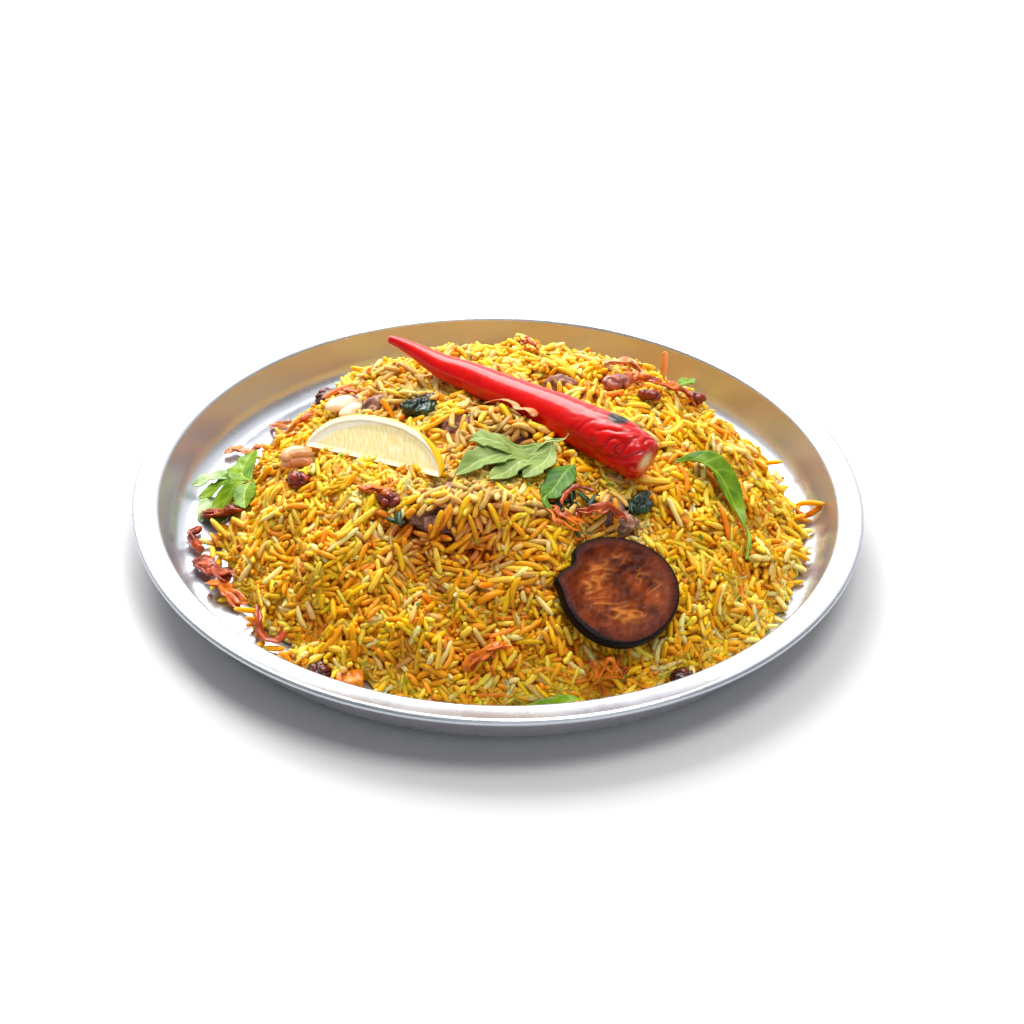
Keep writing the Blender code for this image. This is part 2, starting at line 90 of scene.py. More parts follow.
def colour(name, words, default):
    """A colour property."""
    return FloatVectorProperty(name=name, description=words, default=default, size=3, min=0, max=1,
                               subtype="COLOR")


# ---------------------------------------------------------------- settings

class BiryaniSizes(PropertyGroup):
    """Sizes of the plate's sheet and of the rice."""
    sheet: length("Sheet", "Thickness of the plate's steel", 0.0008)
    base_radius: length("Base radius", "Radius of the plate's flat base", 0.119)
    cove_radius: length("Cove radius", "Radius of the bend between base and wall", 0.010)
    bend_radius: length("Bend radius", "Radius of the bend between wall and ledge", 0.0015)
    roll_radius: length("Roll radius", "Radius of the rolled edge", 0.0014)
    wall_lean: FloatProperty(name="Wall lean", description="Angle of the wall from upright",
                             default=math.radians(9), subtype="ANGLE")
    plate_steps: IntProperty(name="Plate steps", description="Steps round the plate", default=192,
                             min=24)
    grain_length: length("Grain length", "Mean length of a cooked grain", 0.0112)
    grain_width: length("Grain width", "Mean thickness of a cooked grain", 0.0025)
    grain_layers: IntProperty(name="Layers", description="Layers of grains over the core",
                              default=5, min=1)
    core_depth: length("Core depth", "How far the core lies beneath the heap's surface", 0.0065)


class BiryaniColours(PropertyGroup):
    """Colours of the food and the plate."""
    yellow: colour("Yellow grain", "Turmeric-yellow grains", srgb(254, 188, 6))
    golden: colour("Golden grain", "Deep golden grains", srgb(250, 164, 6))
    straw: colour("Straw grain", "Lightly coloured grains", srgb(255, 206, 66))
    pale: colour("Pale grain", "Plain grains, hardly coloured", srgb(255, 224, 140))
    orange: colour("Orange grain", "Saffron-orange grains", srgb(248, 138, 6))
    masala: colour("Masala grain", "Grains coated with spice", srgb(218, 178, 96))
    chilli: colour("Chilli", "Skin of the chilli", srgb(216, 8, 4))
    steel: colour("Steel", "Polished steel", (0.55, 0.58, 0.63))


def sizes():
    """The scene's size settings."""
    return bpy.context.scene.biryani_sizes


def colours():
    """The scene's colour settings."""
    return bpy.context.scene.biryani_colours


# ---------------------------------------------------------------- object helpers

def deselect():
    """Leave nothing selected, so that the next operator acts on the new object only."""
    bpy.ops.object.select_all(action="DESELECT")
    bpy.context.view_layer.objects.active = None


def newest(name):
    """Name the object that an operator has just added."""
    obj = bpy.context.active_object
    obj.name = name
    obj.data.name = name
    return obj


def make_active(obj):
    """Select one object alone."""
    deselect()
    obj.select_set(True)
    bpy.context.view_layer.objects.active = obj


def apply_modifier(obj, kind, **settings):
    """Add a modifier, set it and apply it."""
    make_active(obj)
    modifier = obj.modifiers.new(kind.title(), kind)
    for key, value in settings.items():
        setattr(modifier, key, value)
    bpy.ops.object.modifier_apply(modifier=modifier.name)


def place(obj):
    """Bring an object's place, turn and scale into its mesh."""
    make_active(obj)
    bpy.ops.object.transform_apply(location=True, rotation=True, scale=True)


def settle(obj, material, replaced=()):
    """Shade a finished piece, give it its material and tie it to the body it rides on."""
    make_active(obj)
    bpy.ops.object.shade_smooth()
    if not obj.data.materials:
        obj.data.materials.append(material)
    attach(obj, "root")
    if replaced:
        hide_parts(*replaced)
    deselect()
    return obj


def copy_of_node(node, name):
    """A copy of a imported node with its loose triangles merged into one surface."""
    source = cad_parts[node]
    obj = source.copy()
    obj.data = source.data.copy()
    obj.name = name
    obj.data.name = name
    obj.data.materials.clear()
    for key in list(obj.keys()):
        if key.startswith("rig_"):
            del obj[key]
    obj.parent = None
    obj.matrix_world = Matrix.Identity(4)
    bpy.context.scene.collection.objects.link(obj)
    make_active(obj)
    bpy.ops.object.mode_set(mode="EDIT")
    bpy.ops.mesh.select_all(action="SELECT")
    bpy.ops.mesh.remove_doubles(threshold=0.00001)
    bpy.ops.mesh.customdata_custom_splitnormals_clear()
    bpy.ops.mesh.mark_sharp(clear=True)
    bpy.ops.object.mode_set(mode="OBJECT")
    return obj


def coordinates(obj):
    """The mesh's points as an array, in millimetres."""
    flat = np.empty(len(obj.data.vertices) * 3)
    obj.data.vertices.foreach_get("co", flat)
    return flat.reshape(-1, 3) / MM


def set_coordinates(obj, points):
    """Write points in millimetres back into the mesh."""
    obj.data.vertices.foreach_set("co", (points * MM).ravel())
    obj.data.update()


def attribute(mesh, name, values):
    """Store one number for each point of a mesh."""
    mesh.attributes.new(name, "FLOAT", "POINT").data.foreach_set("value", values)


def box_of(name):
    """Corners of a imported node's box, in millimetres."""
    return tuple(np.array(corner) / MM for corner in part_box(name))


def tree_of(nodes):
    """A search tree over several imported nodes."""
    points = []
    faces = []
    for node in nodes:
        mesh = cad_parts[node].data
        start = len(points)
        points += [v.co.copy() for v in mesh.vertices]
        faces += [[start + i for i in face.vertices] for face in mesh.polygons]
    return BVHTree.FromPolygons(points, faces)


# ---------------------------------------------------------------- shader helpers

def new_material(name):
    """A material with its Principled shader at hand."""
    material = bpy.data.materials.new(name)
    material.use_nodes = True
    return material, material.node_tree, material.node_tree.nodes["Principled BSDF"]


def node(tree, kind, **values):
    """Add a shader node; values name its inputs, or its own settings where it has no such input."""
    made = tree.nodes.new(kind)
    for key, value in values.items():
        title = key.replace("_", " ").title()
        if title in made.inputs:
            made.inputs[title].default_value = value
        else:
            setattr(made, key, value)
    return made


def new_group(name, inputs, outputs):
    """An empty shader group with named sockets."""
    group = bpy.data.node_groups.new(name, "ShaderNodeTree")
    for title, kind, default in inputs:
        socket = group.interface.new_socket(title, in_out="INPUT", socket_type=kind)
        socket.default_value = default
    for title, kind in outputs:
        group.interface.new_socket(title, in_out="OUTPUT", socket_type=kind)
    return group, node(group, "NodeGroupInput"), node(group, "NodeGroupOutput")


COLOUR_SOCKET = "NodeSocketColor"
VALUE_SOCKET = "NodeSocketFloat"
WHITE = (1, 1, 1, 1)
CLOUD = (0.84, 0.80, 0.72, 1)    # faint warm shade within a grain


def mottle_group():
    """Two colours in soft patches."""
    name = "Mottle"
    if name in bpy.data.node_groups:
        return bpy.data.node_groups[name]
    group, inputs, outputs = new_group(
        name,
        (("First", COLOUR_SOCKET, WHITE), ("Second", COLOUR_SOCKET, WHITE),
         ("Scale", VALUE_SOCKET, 100), ("Low", VALUE_SOCKET, 0.4), ("High", VALUE_SOCKET, 0.6)),
        (("Color", COLOUR_SOCKET), ("Mask", VALUE_SOCKET)))
    link = group.links.new
    place_node = node(group, "ShaderNodeTexCoord")
    patches = node(group, "ShaderNodeTexNoise", detail=4, roughness=0.6)
    spread = node(group, "ShaderNodeMapRange")
    mix = node(group, "ShaderNodeMix", data_type="RGBA")
    link(place_node.outputs["Object"], patches.inputs["Vector"])
    link(inputs.outputs["Scale"], patches.inputs["Scale"])
    link(patches.outputs["Fac"], spread.inputs["Value"])
    link(inputs.outputs["Low"], spread.inputs["From Min"])
    link(inputs.outputs["High"], spread.inputs["From Max"])
    link(spread.outputs["Result"], mix.inputs["Factor"])
    link(inputs.outputs["First"], mix.inputs["A"])
    link(inputs.outputs["Second"], mix.inputs["B"])
    link(mix.outputs["Result"], outputs.inputs["Color"])
    link(spread.outputs["Result"], outputs.inputs["Mask"])
    return group


def relief_group():
    """Height of a surface with coarse and fine unevenness."""
    name = "Relief"
    if name in bpy.data.node_groups:
        return bpy.data.node_groups[name]
    group, inputs, outputs = new_group(
        name,
        (("Coarse Scale", VALUE_SOCKET, 200), ("Fine Scale", VALUE_SOCKET, 900),
         ("Fine Share", VALUE_SOCKET, 0.4)),
        (("Height", VALUE_SOCKET),))
    link = group.links.new
    place_node = node(group, "ShaderNodeTexCoord")
    heights = []
    for title in ("Coarse Scale", "Fine Scale"):
        texture = node(group, "ShaderNodeTexNoise", detail=3)
        link(place_node.outputs["Object"], texture.inputs["Vector"])
        link(inputs.outputs[title], texture.inputs["Scale"])
        heights.append(texture)
    mix = node(group, "ShaderNodeMix", data_type="FLOAT")
    link(inputs.outputs["Fine Share"], mix.inputs["Factor"])
    link(heights[0].outputs["Fac"], mix.inputs["A"])
    link(heights[1].outputs["Fac"], mix.inputs["B"])
    link(mix.outputs["Result"], outputs.inputs["Height"])
    return group


def add_group(tree, group, **values):
    """Place a shader group in a material with its own values."""
    made = tree.nodes.new("ShaderNodeGroup")
    made.node_tree = group
    for key, value in values.items():
        made.inputs[key.replace("_", " ").title()].default_value = value
    return made


def rgba(value, shade=1.0):
    """A colour with full opacity, darkened or lightened by a factor."""
    return tuple(min(1.0, c * shade) for c in value[:3]) + (1,)


def blend(tree, first, second, factor):
    """Mix two colours, sockets or fixed, by a factor's socket."""
    mix = node(tree, "ShaderNodeMix", data_type="RGBA")
    for title, value in (("A", first), ("B", second)):
        if isinstance(value, tuple):
            mix.inputs[title].default_value = rgba(value)
        else:
            tree.links.new(value, mix.inputs[title])
    tree.links.new(factor, mix.inputs["Factor"])
    return mix.outputs["Result"]


def mask(tree, name):
    """Read an attribute of the mesh."""
    return node(tree, "ShaderNodeAttribute", attribute_name=name).outputs["Fac"]


SOCKETS = {
    "roughness": "Roughness",
    "specular": "Specular IOR Level",
    "coat": "Coat Weight",
    "coat_roughness": "Coat Roughness",
    "scatter": "Subsurface Weight",
    "scatter_radius": "Subsurface Radius",
    "scatter_size": "Subsurface Scale",
}


def dress(shader, **values):
    """Set the shader's constants by their short names."""
    for key, value in values.items():
        shader.inputs[SOCKETS[key]].default_value = value


def add_relief(tree, shader, strength, distance, coarse, fine, share=0.4):
    """Give a shader a bumpy surface."""
    relief = add_group(tree, relief_group(), coarse_scale=coarse, fine_scale=fine, fine_share=share)
    bump = node(tree, "ShaderNodeBump", strength=strength, distance=distance)
    tree.links.new(relief.outputs["Height"], bump.inputs["Height"])
    tree.links.new(bump.outputs["Normal"], shader.inputs["Normal"])
    return bump


def mottled_material(name, first, second, scale, roughness, relief, low=0.4, high=0.6,
                     coat=0.0, scatter=0.0, scatter_size=0.002):
    """A material of two colours in patches, with relief as (strength, distance, coarse, fine)."""
    material, tree, shader = new_material(name)
    patches = add_group(tree, mottle_group(), first=rgba(first), second=rgba(second), scale=scale,
                        low=low, high=high)
    tree.links.new(patches.outputs["Color"], shader.inputs["Base Color"])
    dress(shader, roughness=roughness, specular=0.25, coat=coat, coat_roughness=0.12)
    if scatter:
        dress(shader, scatter=scatter, scatter_radius=(1.0, 0.6, 0.3), scatter_size=scatter_size)
    add_relief(tree, shader, *relief)
    return material


# ---------------------------------------------------------------- plate

def plate_profile(s, radius, height):
    """Middle of the sheet from the base's edge to the end of the rolled edge."""
    half = s.sheet / 2
    points = [(s.base_radius * 0.55, half), (s.base_radius * 0.9, half)]
    cove = (s.base_radius, s.cove_radius)
    reach = s.cove_radius - half

    def sweep(centre, bend, first, last, steps):
        for k in range(steps + 1):
            angle = first + (last - first) * k / steps
            points.append((centre[0] + bend * math.cos(angle), centre[1] + bend * math.sin(angle)))

    sweep(cove, reach, -math.pi / 2, -s.wall_lean, 12)
    foot = points[-1]
    ledge = height - 0.0006
    bend_height = ledge - half - s.bend_radius
    bend_middle = foot[0] + (bend_height - foot[1]) * math.tan(s.wall_lean) + s.bend_radius
    sweep((bend_middle, bend_height), s.bend_radius, math.pi, math.pi / 2, 6)
    inner = s.roll_radius - half
    roll = (radius - s.roll_radius, ledge - s.roll_radius + 0.0006)
    points.append((roll[0] - s.roll_radius * 0.9, ledge - half))
    sweep(roll, inner, math.radians(110), math.radians(-170), 14)
    return points


def steel_material():
    """Polished steel with faint wiping marks, and painted shade on the wall: a darker, cooler tint
    that dulls the food's reflection in it.
    """
    material, tree, shader = new_material("Polished steel")
    steel = rgba(colours().steel)
    # Painted shade: the wall gets a darker, cooler steel colour that dulls the food's reflection in
    # it.
    wall_shade = (steel[0] * 0.97, steel[1] * 0.87, steel[2] * 0.86, 1)
    tree.links.new(blend(tree, steel, wall_shade, mask(tree, "wall")), shader.inputs["Base Color"])
    shader.inputs["Metallic"].default_value = 0.8
    marks = add_group(tree, mottle_group(), first=rgba((0.24, 0.24, 0.24)),
                      second=rgba((0.34, 0.34, 0.34)), scale=60, low=0.35, high=0.7)
    rough = blend(tree, marks.outputs["Color"], (0.35, 0.35, 0.35), mask(tree, "wall"))
    tree.links.new(rough, shader.inputs["Roughness"])
    return material


class BIRYANI_OT_plate(Operator):
    """Spin the shallow steel plate with its cove, ledge and rolled edge"""
    bl_idname = "biryani.plate"
    bl_label = "Steel plate"

    def execute(self, context):
        s = sizes()
        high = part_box("plate")[1]
        profile = plate_profile(s, high[0], high[2])
        deselect()
        bpy.ops.mesh.primitive_circle_add(vertices=s.plate_steps, radius=profile[0][0],
                                          fill_type="TRIFAN", location=(0, 0, profile[0][1]))
        plate = newest("steel_plate")
        place(plate)
        bpy.ops.object.mode_set(mode="EDIT")
        bpy.ops.mesh.select_all(action="SELECT")
        bpy.ops.mesh.region_to_loop()
        for (r0, z0), (r1, z1) in zip(profile, profile[1:]):
            bpy.ops.mesh.extrude_edges_move(TRANSFORM_OT_translate={"value": (0, 0, z1 - z0)})
            bpy.ops.transform.resize(value=(r1 / r0, r1 / r0, 1), center_override=(0, 0, z1))
        bpy.ops.mesh.select_all(action="SELECT")
        bpy.ops.mesh.normals_make_consistent(inside=False)
        bpy.ops.object.mode_set(mode="OBJECT")
        apply_modifier(plate, "SOLIDIFY", thickness=s.sheet, offset=0, use_even_offset=True)
        z = coordinates(plate)[:, 2]
        attribute(plate.data, "wall", np.clip((z - 4) / 6, 0, 1) * np.clip((20.4 - z) / 0.8, 0, 1))
        settle(plate, steel_material(), ("plate",))
        return {"FINISHED"}


# ---------------------------------------------------------------- heap

class HeightField:
    """Heights over a square grid, in millimetres, which can be read between its points."""
    HALF = 141.0
    STEP = 1.5

    def __init__(self, tree, missing):
        count = int(2 * self.HALF / self.STEP) + 1
        self.axis = np.linspace(-self.HALF, self.HALF, count)
        self.z = np.full((count, count), missing)
        down = Vector((0, 0, -1))
        for i, x in enumerate(self.axis):
            for j, y in enumerate(self.axis):
                hit = tree.ray_cast(Vector((x, y, 200)) * MM, down)[0]
                if hit is not None:
                    self.z[i, j] = hit.z / MM
        self.step = self.axis[1] - self.axis[0]

    def at(self, x, y):
        """Height at any places, by bilinear mixing."""
        u = np.clip((x + self.HALF) / self.step, 0, len(self.axis) - 1.001)
        v = np.clip((y + self.HALF) / self.step, 0, len(self.axis) - 1.001)
        i, j = u.astype(int), v.astype(int)
        u, v = u - i, v - j
        z = self.z
        return (z[i, j] * (1 - u) * (1 - v) + z[i + 1, j] * u * (1 - v)
                + z[i, j + 1] * (1 - u) * v + z[i + 1, j + 1] * u * v)

    def cells(self, x, y):
        """Indices of the grid points nearest to places."""
        last = len(self.axis) - 1
        return tuple(np.clip(np.round((v + self.HALF) / self.step).astype(int), 0, last)
                     for v in (x, y))

    def slope(self, x, y):
        """Steepness along x and along y."""
        d = self.step
        return ((self.at(x + d, y) - self.at(x - d, y)) / (2 * d),
                (self.at(x, y + d) - self.at(x, y - d)) / (2 * d))


def neighbours(grid):
    """Mean of the four neighbours of each point of a grid."""
    padded = np.pad(grid, 1, mode="edge")
    return (padded[:-2, 1:-1] + padded[2:, 1:-1] + padded[1:-1, :-2] + padded[1:-1, 2:]) / 4


def widest(grid, steps):
    """Spread each grid point's value over its lower neighbours."""
    for _ in range(steps):
        padded = np.pad(grid, 1, mode="edge")
        grid = np.maximum.reduce([padded[1:-1, 1:-1], padded[:-2, 1:-1], padded[2:, 1:-1],
                                  padded[1:-1, :-2], padded[1:-1, 2:]])
    return grid


def steepness(sx, sy, most):
    """Length of a slope for each step along it on the level, its square capped at most + 1."""
    return np.sqrt(1 + np.minimum(sx * sx + sy * sy, most))


def heal_hollows(heap):
    """Fill the hollows that the toppings lie in, from the rice around them."""
    covered = HeightField(tree_of(MEAT + GREENS + LARGE + SMALL), 0.0).z > 0
    covered = widest(covered.astype(float), 2) > 0
    inside = heap.z > 1
    hollow = covered & inside
    heap.z[hollow] = np.mean(heap.z[inside & ~hollow])
    for _ in range(900):
        heap.z[hollow] = neighbours(heap.z)[hollow]


class Surfaces:
    """The heap's and the plate's height fields, made once."""
    made = {}

    @classmethod
    def heap(cls):
        if "heap" not in cls.made:
            field = HeightField(tree_of(("rice",)), 0.0)
            heal_hollows(field)
            cls.made["heap"] = field
        return cls.made["heap"]

    @classmethod
    def plate(cls):
        if "plate" not in cls.made:
            cls.made["plate"] = HeightField(tree_of(("plate",)), 0.0)
        return cls.made["plate"]


def make_lid():
    """Height field over which no grain rises: the heap, and a little above the meat."""
    field = HeightField(tree_of(MEAT), -99.0)
    field.z = np.maximum(Surfaces.heap().z, widest(field.z, 1) + 2.8)
    for _ in range(2):
        field.z = neighbours(field.z)
    return field


def heap_outline(angles):
    """Distance of the rice's outline from the axis, one for each angle."""
    points = np.array([v.co[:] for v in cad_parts["rice"].data.vertices]) / MM
    foot = points[points[:, 2] < points[:, 2].min() + 2.5]
    around = np.arctan2(foot[:, 1], foot[:, 0])
    radius = np.hypot(foot[:, 0], foot[:, 1])
    keep = radius > 90
    order = np.argsort(around[keep])
    return np.interp(angles, around[keep][order], radius[keep][order], period=2 * math.pi)


class BIRYANI_OT_core(Operator):
    """Shape the core that carries the grains"""
    bl_idname = "biryani.core"
    bl_label = "Rice core"

    def execute(self, context):
        heap = Surfaces.heap()
        deselect()
        bpy.ops.mesh.primitive_uv_sphere_add(segments=128, ring_count=96, radius=1)
        core = newest("rice_core")
        bpy.ops.object.mode_set(mode="EDIT")
        bpy.ops.mesh.select_all(action="SELECT")
        bpy.ops.mesh.bisect(plane_co=(0, 0, 0), plane_no=(0, 0, 1), use_fill=True, clear_inner=True)
        bpy.ops.object.mode_set(mode="OBJECT")
        points = coordinates(core) * MM
        flat = np.hypot(points[:, 0], points[:, 1])
        angle = np.arctan2(points[:, 1], points[:, 0])
        share = np.clip(flat, 0, 1) ** 1.2
        depth = sizes().core_depth / MM
        radius = share * (heap_outline(angle) - depth * 0.9)
        x, y = radius * np.cos(angle), radius * np.sin(angle)
        floor = sizes().sheet / MM + 0.3
        height = heap.at(x, y) + roughness_of_heap(x, y) * (share < 0.97) - depth
        height = np.maximum(height, floor + 0.2)
        is_floor = (points[:, 2] < 0.0001) & (share < 0.999)
        z = np.where(points[:, 2] < 0.001, floor, height)
        set_coordinates(core, np.stack([x, y, np.where(is_floor, floor, z)], 1))
        # Painted shade: the core's dark orange stands in for the shade seen in the gaps between the
        # grains.
        material = mottled_material("Rice core", srgb(190, 104, 8), srgb(232, 150, 16), 260, 0.7,
                                    (0.8, 0.001, 500, 1500))
        settle(core, material, ("rice",))
        return {"FINISHED"}


# ---------------------------------------------------------------- grains

BALLS = 5                      # balls along a grain that stand for it while it settles
PACKING = 0.84                 # how near two grains may come, as a share of touching
GRID_SHIFT = 200               # keeps the cells of the search grid above zero
GRID_ROW = 1024                # more cells than the search grid has in any direction
TRIES_PER_LAYER = 7400


class Grains:
    """Straight rods of balls, in millimetres, that settle against each other and the food."""

    def __init__(self, centres, directions, lengths, widths):
        self.centres = centres
        self.directions = directions
        self.lengths = lengths
        self.widths = widths

    def __len__(self):
        return len(self.centres)

    def keep(self, chosen):
        """Drop all grains but the chosen ones."""
        for key in ("centres", "directions", "lengths", "widths"):
            setattr(self, key, getattr(self, key)[chosen])

    def balls(self):
        """Places of all balls, grain after grain."""
        spots = np.linspace(-0.5, 0.5, BALLS)
        reach = (self.lengths - self.widths)[:, None, None]
        balls = self.centres[:, None] + self.directions[:, None] * (spots[None, :, None] * reach)
        return balls.reshape(-1, 3)

    def move(self, push, weight):
        """Move and turn the grains by the pushes on their balls."""
        spots = np.tile(np.linspace(0, 1, BALLS), len(self))
        owner = np.repeat(np.arange(len(self)), BALLS)
        half = ((self.lengths - self.widths) / 2)[:, None]
        ends = [self.centres - self.directions * half, self.centres + self.directions * half]
        for end, share in zip(ends, (1 - spots, spots)):
            total = np.zeros((len(self), 3))
            count = np.zeros(len(self))
            np.add.at(total, owner, push * share[:, None])
            np.add.at(count, owner, weight * share)
            end += 1.3 * total / np.maximum(count, 0.5)[:, None]
        self.centres = (ends[0] + ends[1]) / 2
        along = ends[1] - ends[0]
        self.directions = along / np.maximum(np.linalg.norm(along, axis=1), 1e-6)[:, None]


def close_pairs(points, reach):
    """Index pairs of points that lie in the same or a neighbouring cell of a grid."""
    cell = np.floor((points + GRID_SHIFT) / reach).astype(np.int64)
    key = (cell[:, 0] * GRID_ROW + cell[:, 1]) * GRID_ROW + cell[:, 2]
    order = np.argsort(key, kind="stable")
    sorted_key = key[order]
    firsts = []
    seconds = []
    offsets = [(i, j, k) for i in (-1, 0, 1) for j in (-1, 0, 1) for k in (-1, 0, 1)]
    for i, j, k in offsets[13:]:
        shifted = key + (i * GRID_ROW + j) * GRID_ROW + k
        start = np.searchsorted(sorted_key, shifted, "left")
        end = np.searchsorted(sorted_key, shifted, "right")
        count = end - start
        first = np.repeat(np.arange(len(points)), count)
        position = np.arange(count.sum()) - np.repeat(np.cumsum(count) - count, count)
        second = order[np.repeat(start, count) + position]
        if (i, j, k) == (0, 0, 0):
            once = first < second
            first, second = first[once], second[once]
        firsts.append(first)
        seconds.append(second)
    return np.concatenate(firsts), np.concatenate(seconds)


def ball_pushes(grains, balls):
    """Pushes that part the balls of different grains that overlap."""
    radius = np.repeat(grains.widths / 2, BALLS)
    owner = np.repeat(np.arange(len(grains)), BALLS)
    first, second = close_pairs(balls, float(grains.widths.max()))
    other = owner[first] != owner[second]
    first, second = first[other], second[other]
    gap = balls[first] - balls[second]
    distance = np.linalg.norm(gap, axis=1)
    overlap = PACKING * (radius[first] + radius[second]) - distance
    touching = overlap > 0
    first, second, overlap = first[touching], second[touching], overlap[touching]
    gap = gap[touching] / np.maximum(distance[touching], 1e-6)[:, None]
    step = gap * (overlap * 0.5)[:, None]
    push = np.zeros_like(balls)
    weight = np.zeros(len(balls))
    np.add.at(push, first, step)
    np.add.at(push, second, -step)
    np.add.at(weight, first, 1)
    np.add.at(weight, second, 1)
    return push, weight


def topping_pushes(balls, radius, trees, push, weight):
    """Push balls out of the large toppings."""
    for tree, low, high in trees:
        near = np.all((balls > low - 1.5) & (balls < high + 1.5), axis=1)
        for index in np.nonzero(near)[0]:
            spot = Vector(balls[index]) * MM
            closest, normal, _, distance = tree.find_nearest(spot, 0.02)
            if closest is None:
                continue
            away = (spot - closest).dot(normal)
            depth = (distance if away > 0 else -distance) / MM
            if depth < radius[index]:
                push[index] += np.array(normal) * (radius[index] - depth)
                weight[index] += 1


# Lumps in the heap's surface: size across, height and place in the noise
LUMPS = ((14.0, 6.4, 0), (6.0, 4.4, 40))


def roughness_of_heap(x, y):
    """How far the heap's real surface stands above or below the smooth one."""
    values = np.zeros(len(x))
    for across, height, level in LUMPS:
        values += [height * noise.noise(Vector((a, b, level)) / across) for a, b in zip(x, y)]
    return values


def loose_grains(rng):
    """Rows of places and slopes for grains that lie on the bare steel round the heap."""
    angle = np.concatenate([rng.uniform(-math.pi, math.pi, 26), rng.normal(0.1, 0.06, 4),
                            rng.normal(-2.3, 0.25, 14)])
    radius = heap_outline(angle) + np.abs(rng.normal(0, 3.5, len(angle))) - 0.5
    x, y = radius * np.cos(angle), radius * np.sin(angle)
    z = Surfaces.plate().at(x, y) + 1.6
    return np.stack([x, y, z, np.zeros(len(x)), np.zeros(len(x))], 1)


def sow(rng):
    """Scatter layers of grains beneath the heap's surface."""
    s = sizes()
    heap = Surfaces.heap()
    long, wide = s.grain_length / MM, s.grain_width / MM
    batches = []
    for layer in range(s.grain_layers):
        tries = TRIES_PER_LAYER
        angle = rng.uniform(-math.pi, math.pi, tries)
        share = np.sqrt(rng.uniform(0, 1, tries))
        radius = share * (heap_outline(angle) - 1.0)
        x, y = radius * np.cos(angle), radius * np.sin(angle)
        sx, sy = heap.slope(x, y)
        steep = steepness(sx, sy, 3.5)
        keep = rng.uniform(0, 1, tries) < steep / 3.1
        depth = 1.0 + layer * wide * 0.85 + rng.uniform(-0.5, 0.5, tries)
        z = heap.at(x, y) + roughness_of_heap(x, y) - depth * steep
        batches.append(np.stack([x, y, z, sx, sy], 1)[keep])
    rows = np.concatenate(batches + [sow_on_meat(rng), loose_grains(rng)])
    count = len(rows)
    normal = np.stack([-rows[:, 3], -rows[:, 4], np.ones(count)], 1)
    normal /= np.linalg.norm(normal, axis=1)[:, None]
    turn = rng.uniform(0, 2 * math.pi, count)
    tilt = rng.normal(0, math.radians(24), count)
    stray = rng.uniform(0, 1, count) < 0.2
    tilt[stray] = rng.uniform(math.radians(25), math.radians(70), stray.sum())
    side = np.cross(normal, (0.0, 1.0, 0.0))
    side /= np.linalg.norm(side, axis=1)[:, None]
    back = np.cross(normal, side)
    along = side * np.cos(turn)[:, None] + back * np.sin(turn)[:, None]
    along = along * np.cos(tilt)[:, None] + normal * np.sin(tilt)[:, None]
    lengths = np.clip(rng.normal(long, long * 0.14, count), long * 0.6, long * 1.35)
    broken = rng.uniform(0, 1, count) < 0.16
    lengths[broken] *= rng.uniform(0.4, 0.75, broken.sum())
    widths = np.clip(rng.normal(wide, wide * 0.07, count), wide * 0.8, wide * 1.2)
    return Grains(rows[:, :3], along, lengths, widths)


def hold_in_shell(grains):
    """Keep every ball between the core and the heap's uneven surface, and over the plate."""
    heap, plate = Surfaces.heap(), Surfaces.plate()
    balls = grains.balls()
    radius = np.repeat(grains.widths / 2, BALLS)
    x, y, z = balls.T
    height = heap.at(x, y)
    inside = height > 2.0
    sx, sy = heap.slope(x, y)
    steep = steepness(sx, sy, 3.0)
    over = (z - height) / steep
    top = grains.rough - 0.3 + (Surfaces.made["lid"].at(x, y) - height) / steep
    low = grains.rough - sizes().core_depth / MM + radius * 0.3
    push = np.zeros_like(balls)
    weight = np.zeros(len(balls))
    normal = np.stack([-sx, -sy, np.ones(len(balls))], 1)
    normal /= np.linalg.norm(normal, axis=1)[:, None]
    lift = np.where(over > top, top - over, 0) + np.where(over < low, (low - over) * 0.5, 0)
    lift = np.where(inside, lift, 0)
    push += normal * lift[:, None]
    weight += lift != 0
    floor = plate.at(x, y) + radius + 0.1
    below = np.maximum(floor - z, 0)
    push[:, 2] += below
    weight += below > 0
    return balls, push, weight


def settle_grains(grains, steps):
    """Let the grains push each other and the toppings apart, step by step."""
    trees = []
    for name in LARGE + MEAT + GREENS + SMALL:
        low, high = box_of(name)
        trees.append((tree_of((name,)), low, high))
    for step in range(steps):
        if step % 8 == 0:
            balls = grains.balls()
            grains.rough = roughness_of_heap(balls[:, 0], balls[:, 1])
        balls, push, weight = hold_in_shell(grains)
        grains.move(push, weight)
        balls = grains.balls()
        push, weight = ball_pushes(grains, balls)
        if step % 2 == 1 or step > steps - 4:
            topping_pushes(balls, np.repeat(grains.widths / 2, BALLS), trees, push, weight)
        grains.move(push, weight)
    return trees


# Share of the grains that may stay where they lie on a topping; none stay on the others
GRAINS_KEPT = {"greens_back": 0.3, "greens_right": 0.7, "meat_front": 1.0, "meat_centre": 0.5,
               "meat_right": 0.6, "meat_back_left": 0.5}
# Grains sown on top of each piece of meat
MEAT_COVER = {"meat_front": 230, "meat_centre": 26, "meat_right": 10, "meat_back_left": 5}


def sow_on_meat(rng):
    """Rows of places, slopes and tilts for grains that lie on the meat."""
    rows = []
    for name, count in MEAT_COVER.items():
        low, high = box_of(name)
        tree = tree_of((name,))
        for _ in range(count):
            x, y = rng.uniform(low[:2], high[:2])
            hit, normal, _, _ = tree.ray_cast(Vector((x, y, 200)) * MM, Vector((0, 0, -1)))
            if hit is None or normal.z < 0.3:
                continue
            lift = rng.uniform(0.8, 3.4)
            rows.append((x, y, hit.z / MM + lift, -normal.x / normal.z, -normal.y / normal.z))
    return np.array(rows)


